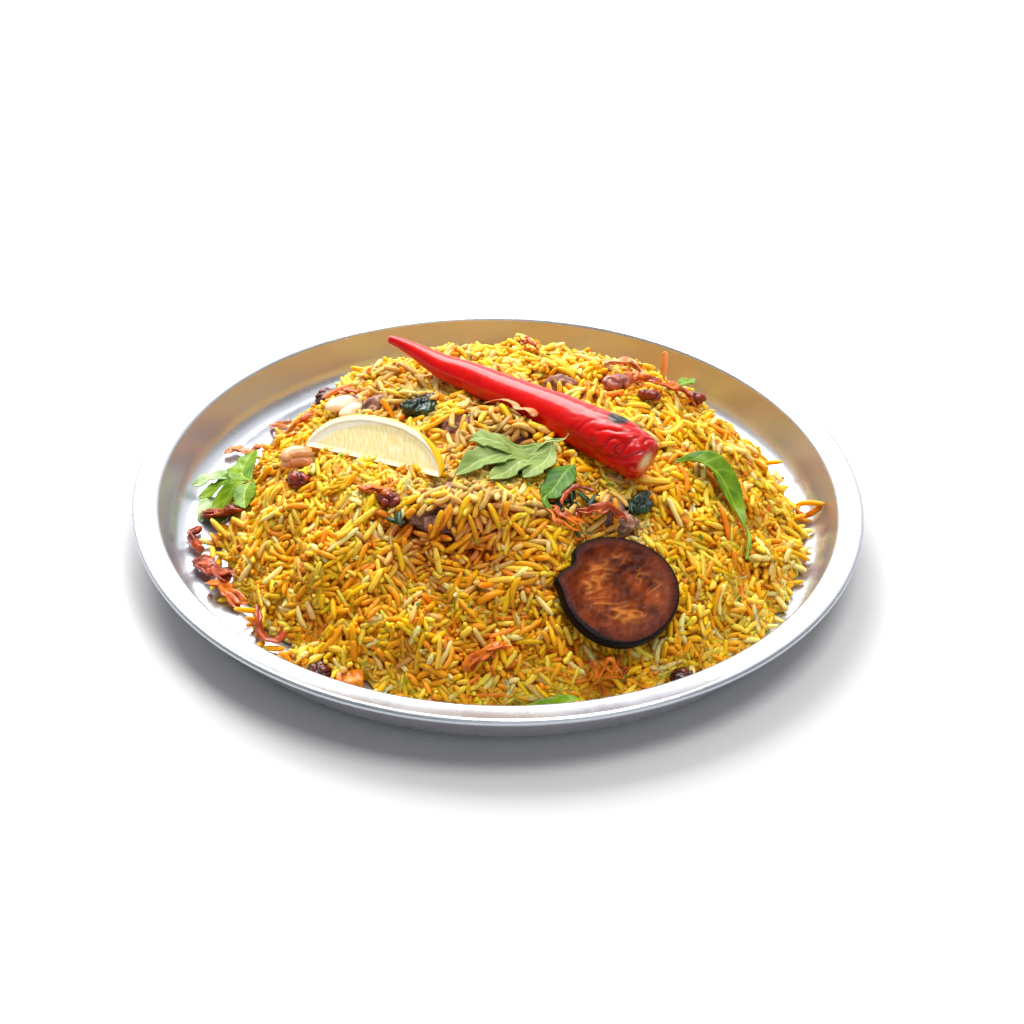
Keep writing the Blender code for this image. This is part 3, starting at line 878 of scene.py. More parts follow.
def clear_of_toppings(grains, trees, rng):
    """Drop the grains that a topping still holds, and most of those that lie on one."""
    keep = np.ones(len(grains), bool)
    for (tree, low, high), name in zip(trees, LARGE + MEAT + GREENS + SMALL):
        cover = GRAINS_KEPT.get(name, 0.0)
        near = np.all((grains.centres > low - 3) & (grains.centres < high + 4), axis=1)
        for index in np.nonzero(near)[0]:
            spot = Vector(grains.centres[index]) * MM
            closest, normal, _, distance = tree.find_nearest(spot, 0.02)
            if closest is None:
                continue
            inside = (spot - closest).dot(normal) < 0
            on_top = normal.z > 0.55 and distance < 0.0022
            if inside or (on_top and rng.uniform() > cover):
                keep[index] = False
    return keep


def grain_shape():
    """One grain along X with a unit length and width: a round rod with tapered tips."""
    deselect()
    bpy.ops.mesh.primitive_uv_sphere_add(segments=5, ring_count=7, radius=1)
    grain = newest("grain_pattern")
    grain.rotation_euler = (0, math.pi / 2, 0)
    place(grain)
    points = coordinates(grain) * MM
    faces = [list(face.vertices) for face in grain.data.polygons]
    bpy.data.objects.remove(grain, do_unlink=True)
    along = np.clip(points[:, 0], -1, 1)
    spread = np.hypot(points[:, 1], points[:, 2])
    way = np.abs(np.arcsin(along) / (math.pi / 2))
    station = np.sign(along) * np.interp(way, (0, 1 / 7, 3 / 7, 5 / 7, 1), (0, 0.2, 0.62, 0.92, 1))
    radius = np.where(spread < 1e-6, 0, (1 - np.abs(station) ** 4.8) ** 0.5)
    round_it = points[:, 1:] / np.maximum(spread, 1e-6)[:, None] * (radius / 2)[:, None]
    shaped = np.stack([station / 2, round_it[:, 0], round_it[:, 1] * 0.88], 1)
    return shaped, faces


def joined_mesh(name, points, faces, per_shape, tones):
    """Make one mesh of many copies of a shape, from all copies' points."""
    copies = len(points) // per_shape
    sizes_of_faces = np.array([len(face) for face in faces])
    flat = np.concatenate([np.array(face) for face in faces])
    loops = (flat[None] + (np.arange(copies) * per_shape)[:, None]).ravel()
    totals = np.tile(sizes_of_faces, copies)
    mesh = bpy.data.meshes.new(name)
    mesh.vertices.add(len(points))
    mesh.vertices.foreach_set("co", (points * MM).ravel())
    mesh.loops.add(len(loops))
    mesh.loops.foreach_set("vertex_index", loops)
    mesh.polygons.add(len(totals))
    mesh.polygons.foreach_set("loop_start", np.concatenate([[0], np.cumsum(totals)[:-1]]))
    mesh.polygons.foreach_set("loop_total", totals)
    mesh.update(calc_edges=True)
    mesh.validate()
    attribute(mesh, "tone", np.repeat(tones, per_shape))
    obj = bpy.data.objects.new(name, mesh)
    bpy.context.scene.collection.objects.link(obj)
    return obj


def lay_out(shape, centres, directions, lengths, widths, rng, bend=0.17):
    """Points of every copy of a shape, scaled, bent, turned and placed."""
    count = len(centres)
    local = shape[None] * np.stack([lengths, widths, widths], 1)[:, None]
    curve = rng.normal(0, bend, count)[:, None] / lengths[:, None]
    local[:, :, 1] += curve * (local[:, :, 0] ** 2 - (lengths[:, None] ** 2) / 12) * 2
    helper = rng.normal(0, 1, (count, 3))
    side = np.cross(directions, helper)
    side /= np.linalg.norm(side, axis=1)[:, None]
    up = np.cross(directions, side)
    axes = np.stack([directions, side, up], 1)
    return (np.einsum("nvk,nkj->nvj", local, axes) + centres[:, None]).reshape(-1, 3)


def near(points, spots):
    """How close points lie to any of some round spots, 1 at a middle and 0 far off."""
    best = np.zeros(len(points))
    for x, y, reach in spots:
        square = ((points[:, 0] - x) ** 2 + (points[:, 1] - y) ** 2) / reach ** 2
        best = np.maximum(best, np.exp(-square))
    return best


def middle_of(name):
    """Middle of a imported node's box, in millimetres."""
    low, high = box_of(name)
    return (low + high) / 2


BURIED = 0.75                  # share of the full depth at which a grain can't be seen
MOST_OF_A_KIND = 3300          # the deepest grains beyond this number are left out
GRAIN_KINDS = ("yellow", "golden", "straw", "pale", "orange", "masala")


def share_out(grains, rng):
    """Give each grain its kind, by where it lies and by how deep, deeper grains going golden and
    orange as painted shade.
    """
    x, y = grains.centres[:, 0], grains.centres[:, 1]
    nearest, centre, side = (middle_of(n) for n in ("meat_front", "meat_centre", "meat_right"))
    far = middle_of("meat_back_left")
    masala = near(grains.centres, ((nearest[0], nearest[1] + 2, 25), (centre[0], centre[1], 22),
                                   (side[0], side[1], 15), (far[0] + 8, far[1] + 10, 24)))
    orange = near(grains.centres, ((50, 30, 20), (-4, -103, 16), (40, -97, 15), (68, -8, 16),
                                   (-45, -52, 12), (-70, -60, 12), (30, 36, 16)))
    wander = np.array([noise.noise(Vector((a, b, 9)) / 17.0) for a, b in zip(x, y)])
    surface = Surfaces.heap().at(x, y) + roughness_of_heap(x, y)
    # Painted shade: depth under the heap's surface shifts grains from straw and pale towards golden
    # and orange.
    deep = np.clip((surface - grains.centres[:, 2] - 1.0) / 3.5, 0, 1)
    plain = np.clip(0.5 + 1.3 * wander, 0, 1)
    back = np.clip((y - 10) / 60, 0, 1)
    front = np.clip((-y - 30) / 60, 0, 1)
    right = np.clip((x - 30) / 60, 0, 1)
    weights = np.stack([
        0.34 + 0.14 * (1 - plain),
        0.14 + 0.4 * deep + 0.16 * front,
        0.34 * (1 - 0.5 * deep) + 0.15 * plain + 0.2 * right,
        (0.07 + 0.28 * plain + 0.22 * back + 0.12 * right) * (1 - 0.8 * deep),
        0.02 + 0.16 * orange + 0.1 * deep ** 2,
        0.01 + 2.4 * masala ** 1.5,
    ], 1)
    weights = np.maximum(weights, 0)
    weights /= weights.sum(1)[:, None]
    return (rng.uniform(0, 1, len(x))[:, None] > np.cumsum(weights, 1)).sum(1)


def tone_material(name, dark, light, roughness=0.42):
    """Grain colour between two tones, one for each grain, with faint cloudiness and painted
    orange-brown shade on grains that lie deep.
    """
    material, tree, shader = new_material(name)
    toned = blend(tree, rgba(dark), rgba(light), mask(tree, "tone"))
    cloud = add_group(tree, mottle_group(), first=CLOUD, second=WHITE, scale=420, low=0.35,
                      high=0.62)
    mixed = node(tree, "ShaderNodeMix", data_type="RGBA", blend_type="MULTIPLY")
    mixed.inputs["Factor"].default_value = 1.0
    tree.links.new(toned, mixed.inputs["A"])
    tree.links.new(cloud.outputs["Color"], mixed.inputs["B"])
    # Painted shade: grains deep among the others are blended towards orange-brown, as the shade in
    # the crevices.
    low = blend(tree, mixed.outputs["Result"], srgb(204, 100, 0), mask(tree, "deep"))
    tree.links.new(low, shader.inputs["Base Color"])
    dress(shader, roughness=roughness, scatter=0.75, scatter_radius=(1.0, 0.6, 0.2),
          scatter_size=0.003, specular=0.3)
    add_relief(tree, shader, 0.25, 0.0003, 700, 2500, 0.5)
    return material


def grain_tops(points):
    """Highest grain point over each cell of the height grid."""
    field = Surfaces.plate()
    top = np.maximum(field.z, 0).copy()
    np.maximum.at(top, field.cells(points[:, 0], points[:, 1]), points[:, 2])
    return top


def depth_below(points, tops):
    """How far points lie under the grains around them: 0 on top, 1 well down; it sets the grains'
    painted shade.
    """
    x, y, z = points.T
    cover = neighbours(neighbours(widest(tops, 1)))[Surfaces.plate().cells(x, y)]
    steep = steepness(*Surfaces.heap().slope(x, y), 3.0) ** 1.6
    return 0.8 * np.clip(((cover - z) / steep - 1.3) / 3.2, 0, 1) ** 1.2


class BIRYANI_OT_grains(Operator):
    """Lay the grains of rice over the core"""
    bl_idname = "biryani.grains"
    bl_label = "Rice grains"

    def execute(self, context):
        rng = np.random.default_rng(7)
        Surfaces.made["lid"] = make_lid()
        grains = sow(rng)
        trees = settle_grains(grains, 26)
        grains.keep(clear_of_toppings(grains, trees, rng))
        kinds = share_out(grains, rng)
        shape, faces = grain_shape()
        patch = noise_at(grains.centres, 0.09, 12)
        tones = np.clip(0.5 + 0.8 * patch + rng.normal(0, 0.22, len(grains)), 0, 1)
        points = lay_out(shape, grains.centres, grains.directions, grains.lengths, grains.widths,
                         rng)
        floor = Surfaces.plate().at(points[:, 0], points[:, 1]) + 0.1
        points[:, 2] = np.maximum(points[:, 2], floor)
        tops = grain_tops(points)
        deep = depth_below(points, tops).reshape(len(grains), -1)
        points = points.reshape(len(grains), -1, 3)
        buried = deep.min(1)
        for number, kind in enumerate(GRAIN_KINDS):
            mine = np.nonzero((kinds == number) & (buried < BURIED))[0]
            mine = mine[np.argsort(buried[mine], kind="stable")][:MOST_OF_A_KIND]
            obj = joined_mesh("rice_" + kind, points[mine].reshape(-1, 3), faces, len(shape),
                              tones[mine])
            # Painted shade: the depth under the grains around sets how far each grain is darkened
            # to orange-brown.
            attribute(obj.data, "deep", deep[mine].ravel())
            base = getattr(colours(), kind)
            material = tone_material("Rice " + kind, rgba(base, 0.8), rgba(base, 1.15))
            settle(obj, material, ("rice",))
        Surfaces.made["tops"] = tops
        return {"FINISHED"}


# ---------------------------------------------------------------- swept shapes

def smooth_line(rows, shares):
    """Points on a smooth curve through rows of values, the spans taking even shares."""
    rows = np.array(rows, float)
    padded = np.vstack([2 * rows[0] - rows[1], rows, 2 * rows[-1] - rows[-2]])
    t = np.clip(shares, 0, 1) * (len(rows) - 1)
    i = np.minimum(t.astype(int), len(rows) - 2)
    u = (t - i)[:, None]
    a, b, c, d = (padded[i + k] for k in range(4))
    return 0.5 * (2 * b + (c - a) * u + (2 * a - 5 * b + 4 * c - d) * u ** 2
                  + (3 * b - a - 3 * c + d) * u ** 3)


def unit(rows):
    """Rows scaled to length one."""
    return rows / np.maximum(np.linalg.norm(rows, axis=1), 1e-9)[:, None]


def ball(name, segments, rings):
    """A ball of radius one with its share of the way from pole to pole and its turn."""
    deselect()
    bpy.ops.mesh.primitive_uv_sphere_add(segments=segments, ring_count=rings, radius=1)
    obj = newest(name)
    points = coordinates(obj) * MM
    share = 1 - np.arccos(np.clip(points[:, 2], -1, 1)) / math.pi
    turn = np.arctan2(points[:, 1], points[:, 0])
    pole = np.hypot(points[:, 0], points[:, 1]) < 1e-5
    return obj, points, share, turn, pole


def swept(name, line, across, up, segments=24, rings=24, upward=(0, 0, 1)):
    """A closed body round a line; across and up give its half sizes by share and turn."""
    obj, _, share, turn, pole = ball(name, segments, rings)
    ahead = unit(smooth_line(line, share + 0.01) - smooth_line(line, share - 0.01))
    side = unit(np.cross(np.array(upward, float), ahead))
    top = np.cross(ahead, side)
    wide = np.where(pole, 0, across(share, turn))
    tall = np.where(pole, 0, up(share, turn))
    set_coordinates(obj, smooth_line(line, share) + side * (wide * np.cos(turn))[:, None]
                    + top * (tall * np.sin(turn))[:, None])
    attribute(obj.data, "along", share)
    return obj


def round_end(share, power=2.0):
    """Falls from one in the middle to nothing at both ends."""
    return (1 - np.abs(2 * share - 1) ** power) ** 0.5


def noise_at(points, scale, seed=0.0):
    """Smooth noise between -1 and 1 at each point."""
    shift = Vector((seed, seed * 2.3, seed * 0.7))
    return np.array([noise.noise(Vector(p) * scale + shift) for p in points])


def ridged_at(points, scale, seed=0.0):
    """Noise with sharp crests, between 0 and 1."""
    return 1 - np.minimum(1, 2.2 * np.abs(noise_at(points, scale, seed)))


def outward(obj):
    """The mesh's normals at its points."""
    flat = np.empty(len(obj.data.vertices) * 3)
    obj.data.vertices.foreach_get("normal", flat)
    return flat.reshape(-1, 3)


def blanket():
    """Height field that lies over the grains and the toppings like a cloth."""
    if "blanket" not in Surfaces.made:
        food = HeightField(tree_of(MEAT + GREENS + LARGE + SMALL), 0.0)
        food.z = np.maximum(food.z, Surfaces.made["tops"])
        food.z = widest(food.z, 1)
        for _ in range(3):
            food.z = neighbours(food.z)
        Surfaces.made["blanket"] = food
    return Surfaces.made["blanket"]


def joined(objects, name):
    """Join objects into one."""
    deselect()
    for obj in objects:
        obj.select_set(True)
    bpy.context.view_layer.objects.active = objects[0]
    if len(objects) > 1:
        bpy.ops.object.join()
    objects[0].name = name
    return objects[0]


# ---------------------------------------------------------------- chilli

CHILLI_LINE = (
    (-44.5, 32.0, 66.0, 1.5), (-40.0, 30.0, 65.5, 2.2), (-33.0, 26.0, 64.0, 3.2),
    (-22.5, 19.5, 61.5, 4.9), (-11.5, 13.0, 61.0, 5.8), (3.0, 3.0, 60.7, 6.4),
    (14.0, -5.0, 60.6, 7.2), (24.0, -12.5, 60.5, 7.9), (33.0, -20.0, 60.3, 8.8),
    (41.0, -26.5, 60.0, 9.3), (47.0, -31.5, 59.2, 9.2), (51.5, -35.0, 58.2, 8.3),
    (53.8, -36.8, 57.7, 6.4),
)
CHILLI_SCAR = (53.8, -38.9, 58.6)
CHILLI_CHAR = (43.0, -25.6, 68.6)


def spot_mask(points, middle, radius, power=4):
    """One near a middle and nothing away from it."""
    distance = np.linalg.norm(points - np.array(middle), axis=1)
    return np.exp(-(distance / radius) ** power)


def chilli_material():
    """Glossy red skin with a charred spot, the stalk's scar and painted shade in the creases near
    the stalk.
    """
    material, tree, shader = new_material("Red chilli skin")
    patches = add_group(tree, mottle_group(), first=rgba(colours().chilli, 0.72),
                        second=rgba(colours().chilli), scale=90, low=0.3, high=0.6)
    # Painted shade: the grooves of the wrinkles near the stalk are darkened to deep red.
    red = blend(tree, patches.outputs["Color"], srgb(120, 8, 8), mask(tree, "crease"))
    charred = blend(tree, red, srgb(4, 2, 3), mask(tree, "char"))
    scarred = blend(tree, charred, srgb(222, 206, 164), mask(tree, "scar"))
    tree.links.new(scarred, shader.inputs["Base Color"])
    dress(shader, roughness=0.3, specular=0.2, coat=0.35, coat_roughness=0.03)
    add_relief(tree, shader, 0.55, 0.0012, 85, 330, 0.3)
    return material


class BIRYANI_OT_chilli(Operator):
    """Sweep the long red chilli with its wrinkled stalk end"""
    bl_idname = "biryani.chilli"
    bl_label = "Red chilli"

    def execute(self, context):
        rows = np.array(CHILLI_LINE)

        def radius(share, turn):
            plain = smooth_line(rows[:, 3:], share)[:, 0]
            ends = np.clip(share / 0.014, 0, 1) ** 0.5 * np.clip((1 - share) / 0.02, 0, 1) ** 0.5
            return plain * ends

        chilli = swept("chilli_body", rows[:, :3], radius, radius, 96, 220)
        share = np.empty(len(chilli.data.vertices))
        chilli.data.attributes["along"].data.foreach_get("value", share)
        points = coordinates(chilli)
        wrinkled = np.clip((share - 0.6) / 0.2, 0, 1)
        stretched = points * np.array([0.55, 0.9, 1.0])
        folds = ridged_at(stretched, 0.26, 5) ** 2
        broad = noise_at(points * np.array([0.5, 0.7, 1.0]), 0.12, 2)
        depth = 0.35 * broad - wrinkled * 0.75 * folds + 0.2 * wrinkled
        scar = spot_mask(points, CHILLI_SCAR, 3.5)
        char = spot_mask(points, CHILLI_CHAR, 4.4, 10)
        inside = np.clip((share - 0.01) / 0.04, 0, 1) * np.clip((0.995 - share) / 0.03, 0, 1)
        set_coordinates(chilli, points + outward(chilli) * (depth * inside * (1 - scar))[:, None])
        # Painted shade mask: strongest in the pushed-in grooves of the wrinkles.
        attribute(chilli.data, "crease", wrinkled * folds * 0.5)
        attribute(chilli.data, "scar", scar)
        attribute(chilli.data, "char", char)
        settle(chilli, chilli_material(), ("red_chilli",))
        return {"FINISHED"}


# ---------------------------------------------------------------- lemon

LEMON_CORE = ((-73.5, -6.0, 40.5), (-21.0, -45.0, 54.0))
LEMON_DEPTH = 16.8
LEMON_ANGLE = math.radians(36)
LEMON_LIE = (-0.25, -0.144, 0.96)


def lemon_material():
    """Rind, pith and streaked flesh, told apart by the distance from the rind."""
    material, tree, shader = new_material("Lemon")
    link = tree.links.new
    juice = node(tree, "ShaderNodeAttribute", attribute_name="juice")
    stretch = node(tree, "ShaderNodeMapping")
    stretch.inputs["Scale"].default_value = (0.75, 0.2, 1)
    streaks = node(tree, "ShaderNodeTexNoise", detail=3)
    streaks.inputs["Scale"].default_value = 1.3
    link(juice.outputs["Vector"], stretch.inputs["Vector"])
    link(stretch.outputs["Vector"], streaks.inputs["Vector"])
    ramp = node(tree, "ShaderNodeMapRange")
    ramp.inputs["From Min"].default_value = 0.38
    ramp.inputs["From Max"].default_value = 0.62
    link(streaks.outputs["Fac"], ramp.inputs["Value"])
    flesh = blend(tree, srgb(246, 224, 146), srgb(255, 245, 200), ramp.outputs["Result"])
    with_pith = blend(tree, flesh, srgb(254, 249, 226), mask(tree, "pith"))
    with_rind = blend(tree, with_pith, srgb(250, 196, 26), mask(tree, "rind"))
    link(with_rind, shader.inputs["Base Color"])
    dress(shader, roughness=0.32, scatter=0.3, scatter_radius=(1.0, 0.8, 0.3), scatter_size=0.002)
    bump = node(tree, "ShaderNodeBump", strength=0.5, distance=0.0004)
    link(streaks.outputs["Fac"], bump.inputs["Height"])
    link(bump.outputs["Normal"], shader.inputs["Normal"])
    return material


class BIRYANI_OT_lemon(Operator):
    """Shape the lemon wedge between its two cut faces"""
    bl_idname = "biryani.lemon"
    bl_label = "Lemon wedge"

    def execute(self, context):
        start, end = (np.array(p) for p in LEMON_CORE)
        half = np.linalg.norm(end - start) / 2
        along = (end - start) / (2 * half)
        lie = np.array(LEMON_LIE)
        up = lie - along * lie.dot(along)
        up /= np.linalg.norm(up)
        back = np.cross(up, along)
        lemon, _, share, turn, pole = ball("lemon_body", 144, 120)
        s = -np.cos(math.pi * share)
        reach = LEMON_DEPTH * np.maximum(1 - np.abs(s) ** 2.3, 0) ** 0.55
        way = (turn + math.pi) / (2 * math.pi)
        edge = 0.36
        out = np.clip(np.minimum(way, 1 - way) / edge, 0, 1)
        angle = np.clip((way - edge) / (1 - 2 * edge), 0, 1) * LEMON_ANGLE
        r = np.where(pole, 0, reach * out)
        flesh_depth = reach - r
        face = (way > 1 - edge) & (flesh_depth > 2.4)
        sink = np.where(face, 0.35 + 0.5 * np.clip((flesh_depth - 2.4) / 3, 0, 1), 0)
        sink *= np.clip(r / 2.0, 0, 1)
        normal = -back * math.sin(LEMON_ANGLE) + up * math.cos(LEMON_ANGLE)
        middle = (start + end) / 2
        points = (middle + along * (half * s)[:, None] + back * (r * np.cos(angle))[:, None]
                  + up * (r * np.sin(angle))[:, None] - normal * sink[:, None])
        set_coordinates(lemon, points)
        juice = np.stack([half * s + 0.4 * r, r, np.zeros(len(r))], 1)
        lemon.data.attributes.new("juice", "FLOAT_VECTOR", "POINT").data.foreach_set(
            "vector", juice.ravel())
        thick = (2.7 + 3.8 * np.clip(-s + 0.1, 0, 1) ** 1.3 + 2.2 * np.clip((s - 0.5) / 0.4, 0, 1)
                 + 0.7 * noise_at(points, 0.12, 3))
        on_arc = (way >= edge) & (way <= 1 - edge)
        pith = np.clip((thick - flesh_depth) / 0.5 + 0.5, 0, 1)
        crescent = 0.4 + 2.0 * np.clip((s - 0.55) / 0.3, 0, 1)
        rind = np.where(on_arc, 1, np.clip((crescent - flesh_depth) / 0.3, 0, 1))
        attribute(lemon.data, "pith", np.maximum(pith, np.clip(1 - r / 0.8, 0, 1) * 0.6))
        attribute(lemon.data, "rind", rind)
        settle(lemon, lemon_material(), ("lemon_wedge",))
        return {"FINISHED"}


# ---------------------------------------------------------------- aubergine

SLICE_NORMAL = (0.22, -0.46, 0.86)
SLICE_RADIUS = 21.6
SLICE_THICKNESS = 7.0
SLICE_BEVEL = 1.0


def slice_outline(angle):
    """Outline of the slice: nearly round, with a notch beside a pointed corner."""
    radius = SLICE_RADIUS + 0.6 * np.cos(2 * angle + 0.5) + 0.5 * np.cos(3 * angle)
    notch = 3.2 * np.exp(-((angle - math.radians(133)) / 0.2) ** 2)
    corner = 1.4 * np.exp(-((angle - math.radians(155)) / 0.12) ** 2)
    return radius - notch + corner


def aubergine_material():
    """Fried flesh, dark at its edge and pale along the seeds, in a black skin."""
    material, tree, shader = new_material("Fried aubergine")
    patches = add_group(tree, mottle_group(), first=srgb(60, 16, 2) + (1,),
                        second=srgb(142, 58, 8) + (1,), scale=120, low=0.36, high=0.66)
    seeds = blend(tree, patches.outputs["Color"], srgb(196, 116, 44), mask(tree, "seeds"))
    edge = blend(tree, seeds, srgb(60, 16, 8), mask(tree, "edge"))
    skin = blend(tree, edge, srgb(16, 6, 8), mask(tree, "rim"))
    tree.links.new(skin, shader.inputs["Base Color"])
    dress(shader, roughness=0.42, specular=0.1)
    add_relief(tree, shader, 0.7, 0.0008, 260, 900, 0.35)
    return material


class BIRYANI_OT_aubergine(Operator):
    """Shape the round fried aubergine slice with its skin"""
    bl_idname = "biryani.aubergine"
    bl_label = "Aubergine slice"

    def execute(self, context):
        normal = np.array(SLICE_NORMAL)
        normal /= np.linalg.norm(normal)
        across = np.cross((0, 0, 1), normal)
        across /= np.linalg.norm(across)
        uphill = np.cross(normal, across)
        low, high = box_of("aubergine_slice")
        piece, _, share, turn, pole = ball("aubergine_body", 160, 110)
        way = 1 - share
        side = np.clip((way - 0.4) / 0.2, 0, 1) * math.pi
        inner = np.clip(np.minimum(way, 1 - way) / 0.4, 0, 1)
        full = slice_outline(np.where(turn < 0, turn + 2 * math.pi, turn))
        radius = np.where(pole, 0, inner * (full - SLICE_BEVEL) + SLICE_BEVEL * np.sin(side))
        height = SLICE_THICKNESS / 2 * np.cos(side)
        lower_left = np.exp(-((np.mod(turn, 2 * math.pi) - math.radians(215)) / 0.5) ** 2)
        below = np.clip(-2 * height / SLICE_THICKNESS, 0, 1)
        radius = radius * (1 - (0.26 - 0.2 * lower_left) * below)
        a, b = radius * np.cos(turn), radius * np.sin(turn)
        flat = np.stack([a, b, np.zeros(len(a))], 1)
        swirl = noise_at(flat, 0.12, 4)
        pulled = np.stack([a * 0.13 + 1.1 * swirl, b * 0.34 - 0.7 * swirl, 0.3 * swirl], 1)
        streaks = ridged_at(pulled, 1.0, 7)
        top = (way < 0.4).astype(float)
        bowl = np.clip(1 - (inner / 0.86) ** 6, 0, 1)
        height = height + top * bowl * (-1.0 + 0.7 * swirl + 0.12 * streaks
                                        + 0.35 * noise_at(flat, 0.45, 6))
        points = across * a[:, None] + uphill * b[:, None] + normal * height[:, None]
        points += (low + high) / 2 - (points.min(0) + points.max(0)) / 2
        points += normal * np.where(height < 0, -0.5 * height, 0)[:, None]
        set_coordinates(piece, points)
        band = 0.035 + 0.05 * lower_left + 0.02 * noise_at(flat, 0.25, 9)
        rim = np.clip((inner - (1 - band)) / 0.03, 0, 1)
        attribute(piece.data, "rim", np.where(top > 0, rim, 1))
        attribute(piece.data, "edge", np.clip((inner - 0.62) / 0.4, 0, 1) * 0.9)
        seeds = streaks ** 5 * np.exp(-((inner - 0.55) / 0.25) ** 2)
        seeds *= 0.5 + 2.2 * noise_at(flat, 0.11, 2)
        attribute(piece.data, "seeds", np.clip(seeds, 0, 0.8))
        settle(piece, aubergine_material(), ("aubergine_slice",))
        return {"FINISHED"}


# ---------------------------------------------------------------- meat and greens

def lump_body(node_name, name, voxel, folds, fine, stretch, seed, sink=0.0):
    """A packed lump, refined and roughened into fibres or folds."""
    obj = copy_of_node(node_name, name)
    apply_modifier(obj, "REMESH", mode="VOXEL", voxel_size=voxel * MM)
    apply_modifier(obj, "SMOOTH", factor=0.8, iterations=6)
    points = coordinates(obj)
    pulled = points * np.array(stretch)
    broad = noise_at(pulled, 0.17, seed)
    crest = ridged_at(pulled + 2.0 * noise_at(points, 0.3, seed + 1)[:, None], 0.3, seed + 3)
    grain = noise_at(pulled, 1.1, seed + 5)
    depth = folds * (broad + 0.5 * crest - 0.35) + fine * grain
    set_coordinates(obj, points + outward(obj) * (depth - sink)[:, None])
    attribute(obj.data, "crest", np.clip(0.5 + 0.5 * crest + 0.3 * grain, 0, 1))
    return obj


def meat_material():
    """Braised meat: dull purple-brown fibres with paler crests."""
    material, tree, shader = new_material("Braised meat")
    patches = add_group(tree, mottle_group(), first=srgb(92, 56, 46) + (1,),
                        second=srgb(158, 112, 90) + (1,), scale=260, low=0.34, high=0.66)
    crest = node(tree, "ShaderNodeMapRange")
    crest.inputs["From Min"].default_value = 0.75
    crest.inputs["From Max"].default_value = 1.1
    tree.links.new(mask(tree, "crest"), crest.inputs["Value"])
    pale = blend(tree, patches.outputs["Color"], srgb(196, 150, 120), crest.outputs["Result"])
    tree.links.new(pale, shader.inputs["Base Color"])
    dress(shader, roughness=0.45, specular=0.3, coat=0.12, scatter=0.1, scatter_size=0.001)
    add_relief(tree, shader, 0.7, 0.0008, 300, 1100, 0.5)
    return material


class BIRYANI_OT_meat(Operator):
    """Roughen the pieces of braised meat"""
    bl_idname = "biryani.meat"
    bl_label = "Braised meat"

    def execute(self, context):
        material = meat_material()
        for number, name in enumerate(MEAT):
            piece = lump_body(name, name + "_fibres", 0.6, 1.9, 0.35, (0.55, 1.0, 1.0),
                              number * 11.0, 0.5)
            settle(piece, material, (name,))
        return {"FINISHED"}


class BIRYANI_OT_greens(Operator):
    """Crumple the cooked dark greens"""
    bl_idname = "biryani.greens"
    bl_label = "Cooked greens"

    def execute(self, context):
        material = mottled_material("Cooked greens", srgb(14, 32, 24), srgb(34, 66, 40), 220, 0.35,
                                    (0.6, 0.0006, 260, 900), coat=0.5)
        for number, name in enumerate(GREENS):
            piece = lump_body(name, name + "_folds", 0.4, 2.6, 0.3, (1.2, 0.6, 1.4), 40 + number,
                              0.3)
            settle(piece, material, (name,))
        return {"FINISHED"}


# ---------------------------------------------------------------- fruit and nuts

def wrinkled_ball(name, middle, half, turn, wrinkle, seed, scale=0.36):
    """An egg-shaped body with folds, from its middle and half sizes in millimetres."""
    ahead = np.array([math.cos(turn), math.sin(turn), 0.0])
    line = [middle - ahead * half[0], middle, middle + ahead * half[0]]
    obj = swept(name, line, lambda s, t: half[1] * round_end(s),
                lambda s, t: half[2] * round_end(s), 40, 36)
    points = coordinates(obj)
    folds = ridged_at(points * np.array([0.6, 0.8, 1.0]), scale, seed)
    depth = wrinkle * (0.4 - folds ** 1.5) * min(half)
    set_coordinates(obj, points + outward(obj) * depth[:, None])
    # Fold is highest in the pushed-in grooves, where the fruit material paints shade.
    attribute(obj.data, "fold", folds)
    return obj


def fruit_material(name, dark, light):
    """Glossy dried fruit, with painted shade darkening its folds."""
    material, tree, shader = new_material(name)
    patches = add_group(tree, mottle_group(), first=rgba(dark), second=rgba(light), scale=240,
                        low=0.4, high=0.7)
    # Painted shade: the folds take half the dark colour.
    deep = blend(tree, patches.outputs["Color"], tuple(c * 0.5 for c in dark), mask(tree, "fold"))
    tree.links.new(deep, shader.inputs["Base Color"])
    dress(shader, roughness=0.3, specular=0.25, coat=0.5, coat_roughness=0.08, scatter=0.15,
          scatter_size=0.001)
    add_relief(tree, shader, 0.3, 0.0003, 500, 1600, 0.4)
    return material


FRUIT_TURNS = {"raisin_back": 0.6, "raisin_left": -0.2, "raisin_middle": -0.7, "raisin_plate": -0.3,
               "raisin_back_right": -0.2, "raisin_far_right": 0.0, "raisin_front_right": 0.5,
               "sultana": 0.4}
REDDISH = ("raisin_back_right", "raisin_far_right", "raisin_middle", "raisin_left")


class BIRYANI_OT_fruit(Operator):
    """Shape the raisins and the sultana, each with its own folds"""
    bl_idname = "biryani.fruit"
    bl_label = "Dried fruit"

    def execute(self, context):
        dark = fruit_material("Raisin skin", srgb(66, 20, 12), srgb(142, 46, 18))
        red = fruit_material("Reddish raisin skin", srgb(116, 24, 8), srgb(186, 66, 18))
        pink = fruit_material("Sultana skin", srgb(172, 84, 66), srgb(226, 150, 128))
        for number, name in enumerate(FRUIT):
            low, high = box_of(name)
            half = (high - low) / 2
            half = np.array([max(half[:2]), min(half[:2]), half[2]])
            piece = wrinkled_ball(name + "_fruit", (low + high) / 2, half, FRUIT_TURNS[name], 0.36,
                                  10 + number * 3)
            material = pink if name == "sultana" else red if name in REDDISH else dark
            settle(piece, material, (name,))
        return {"FINISHED"}


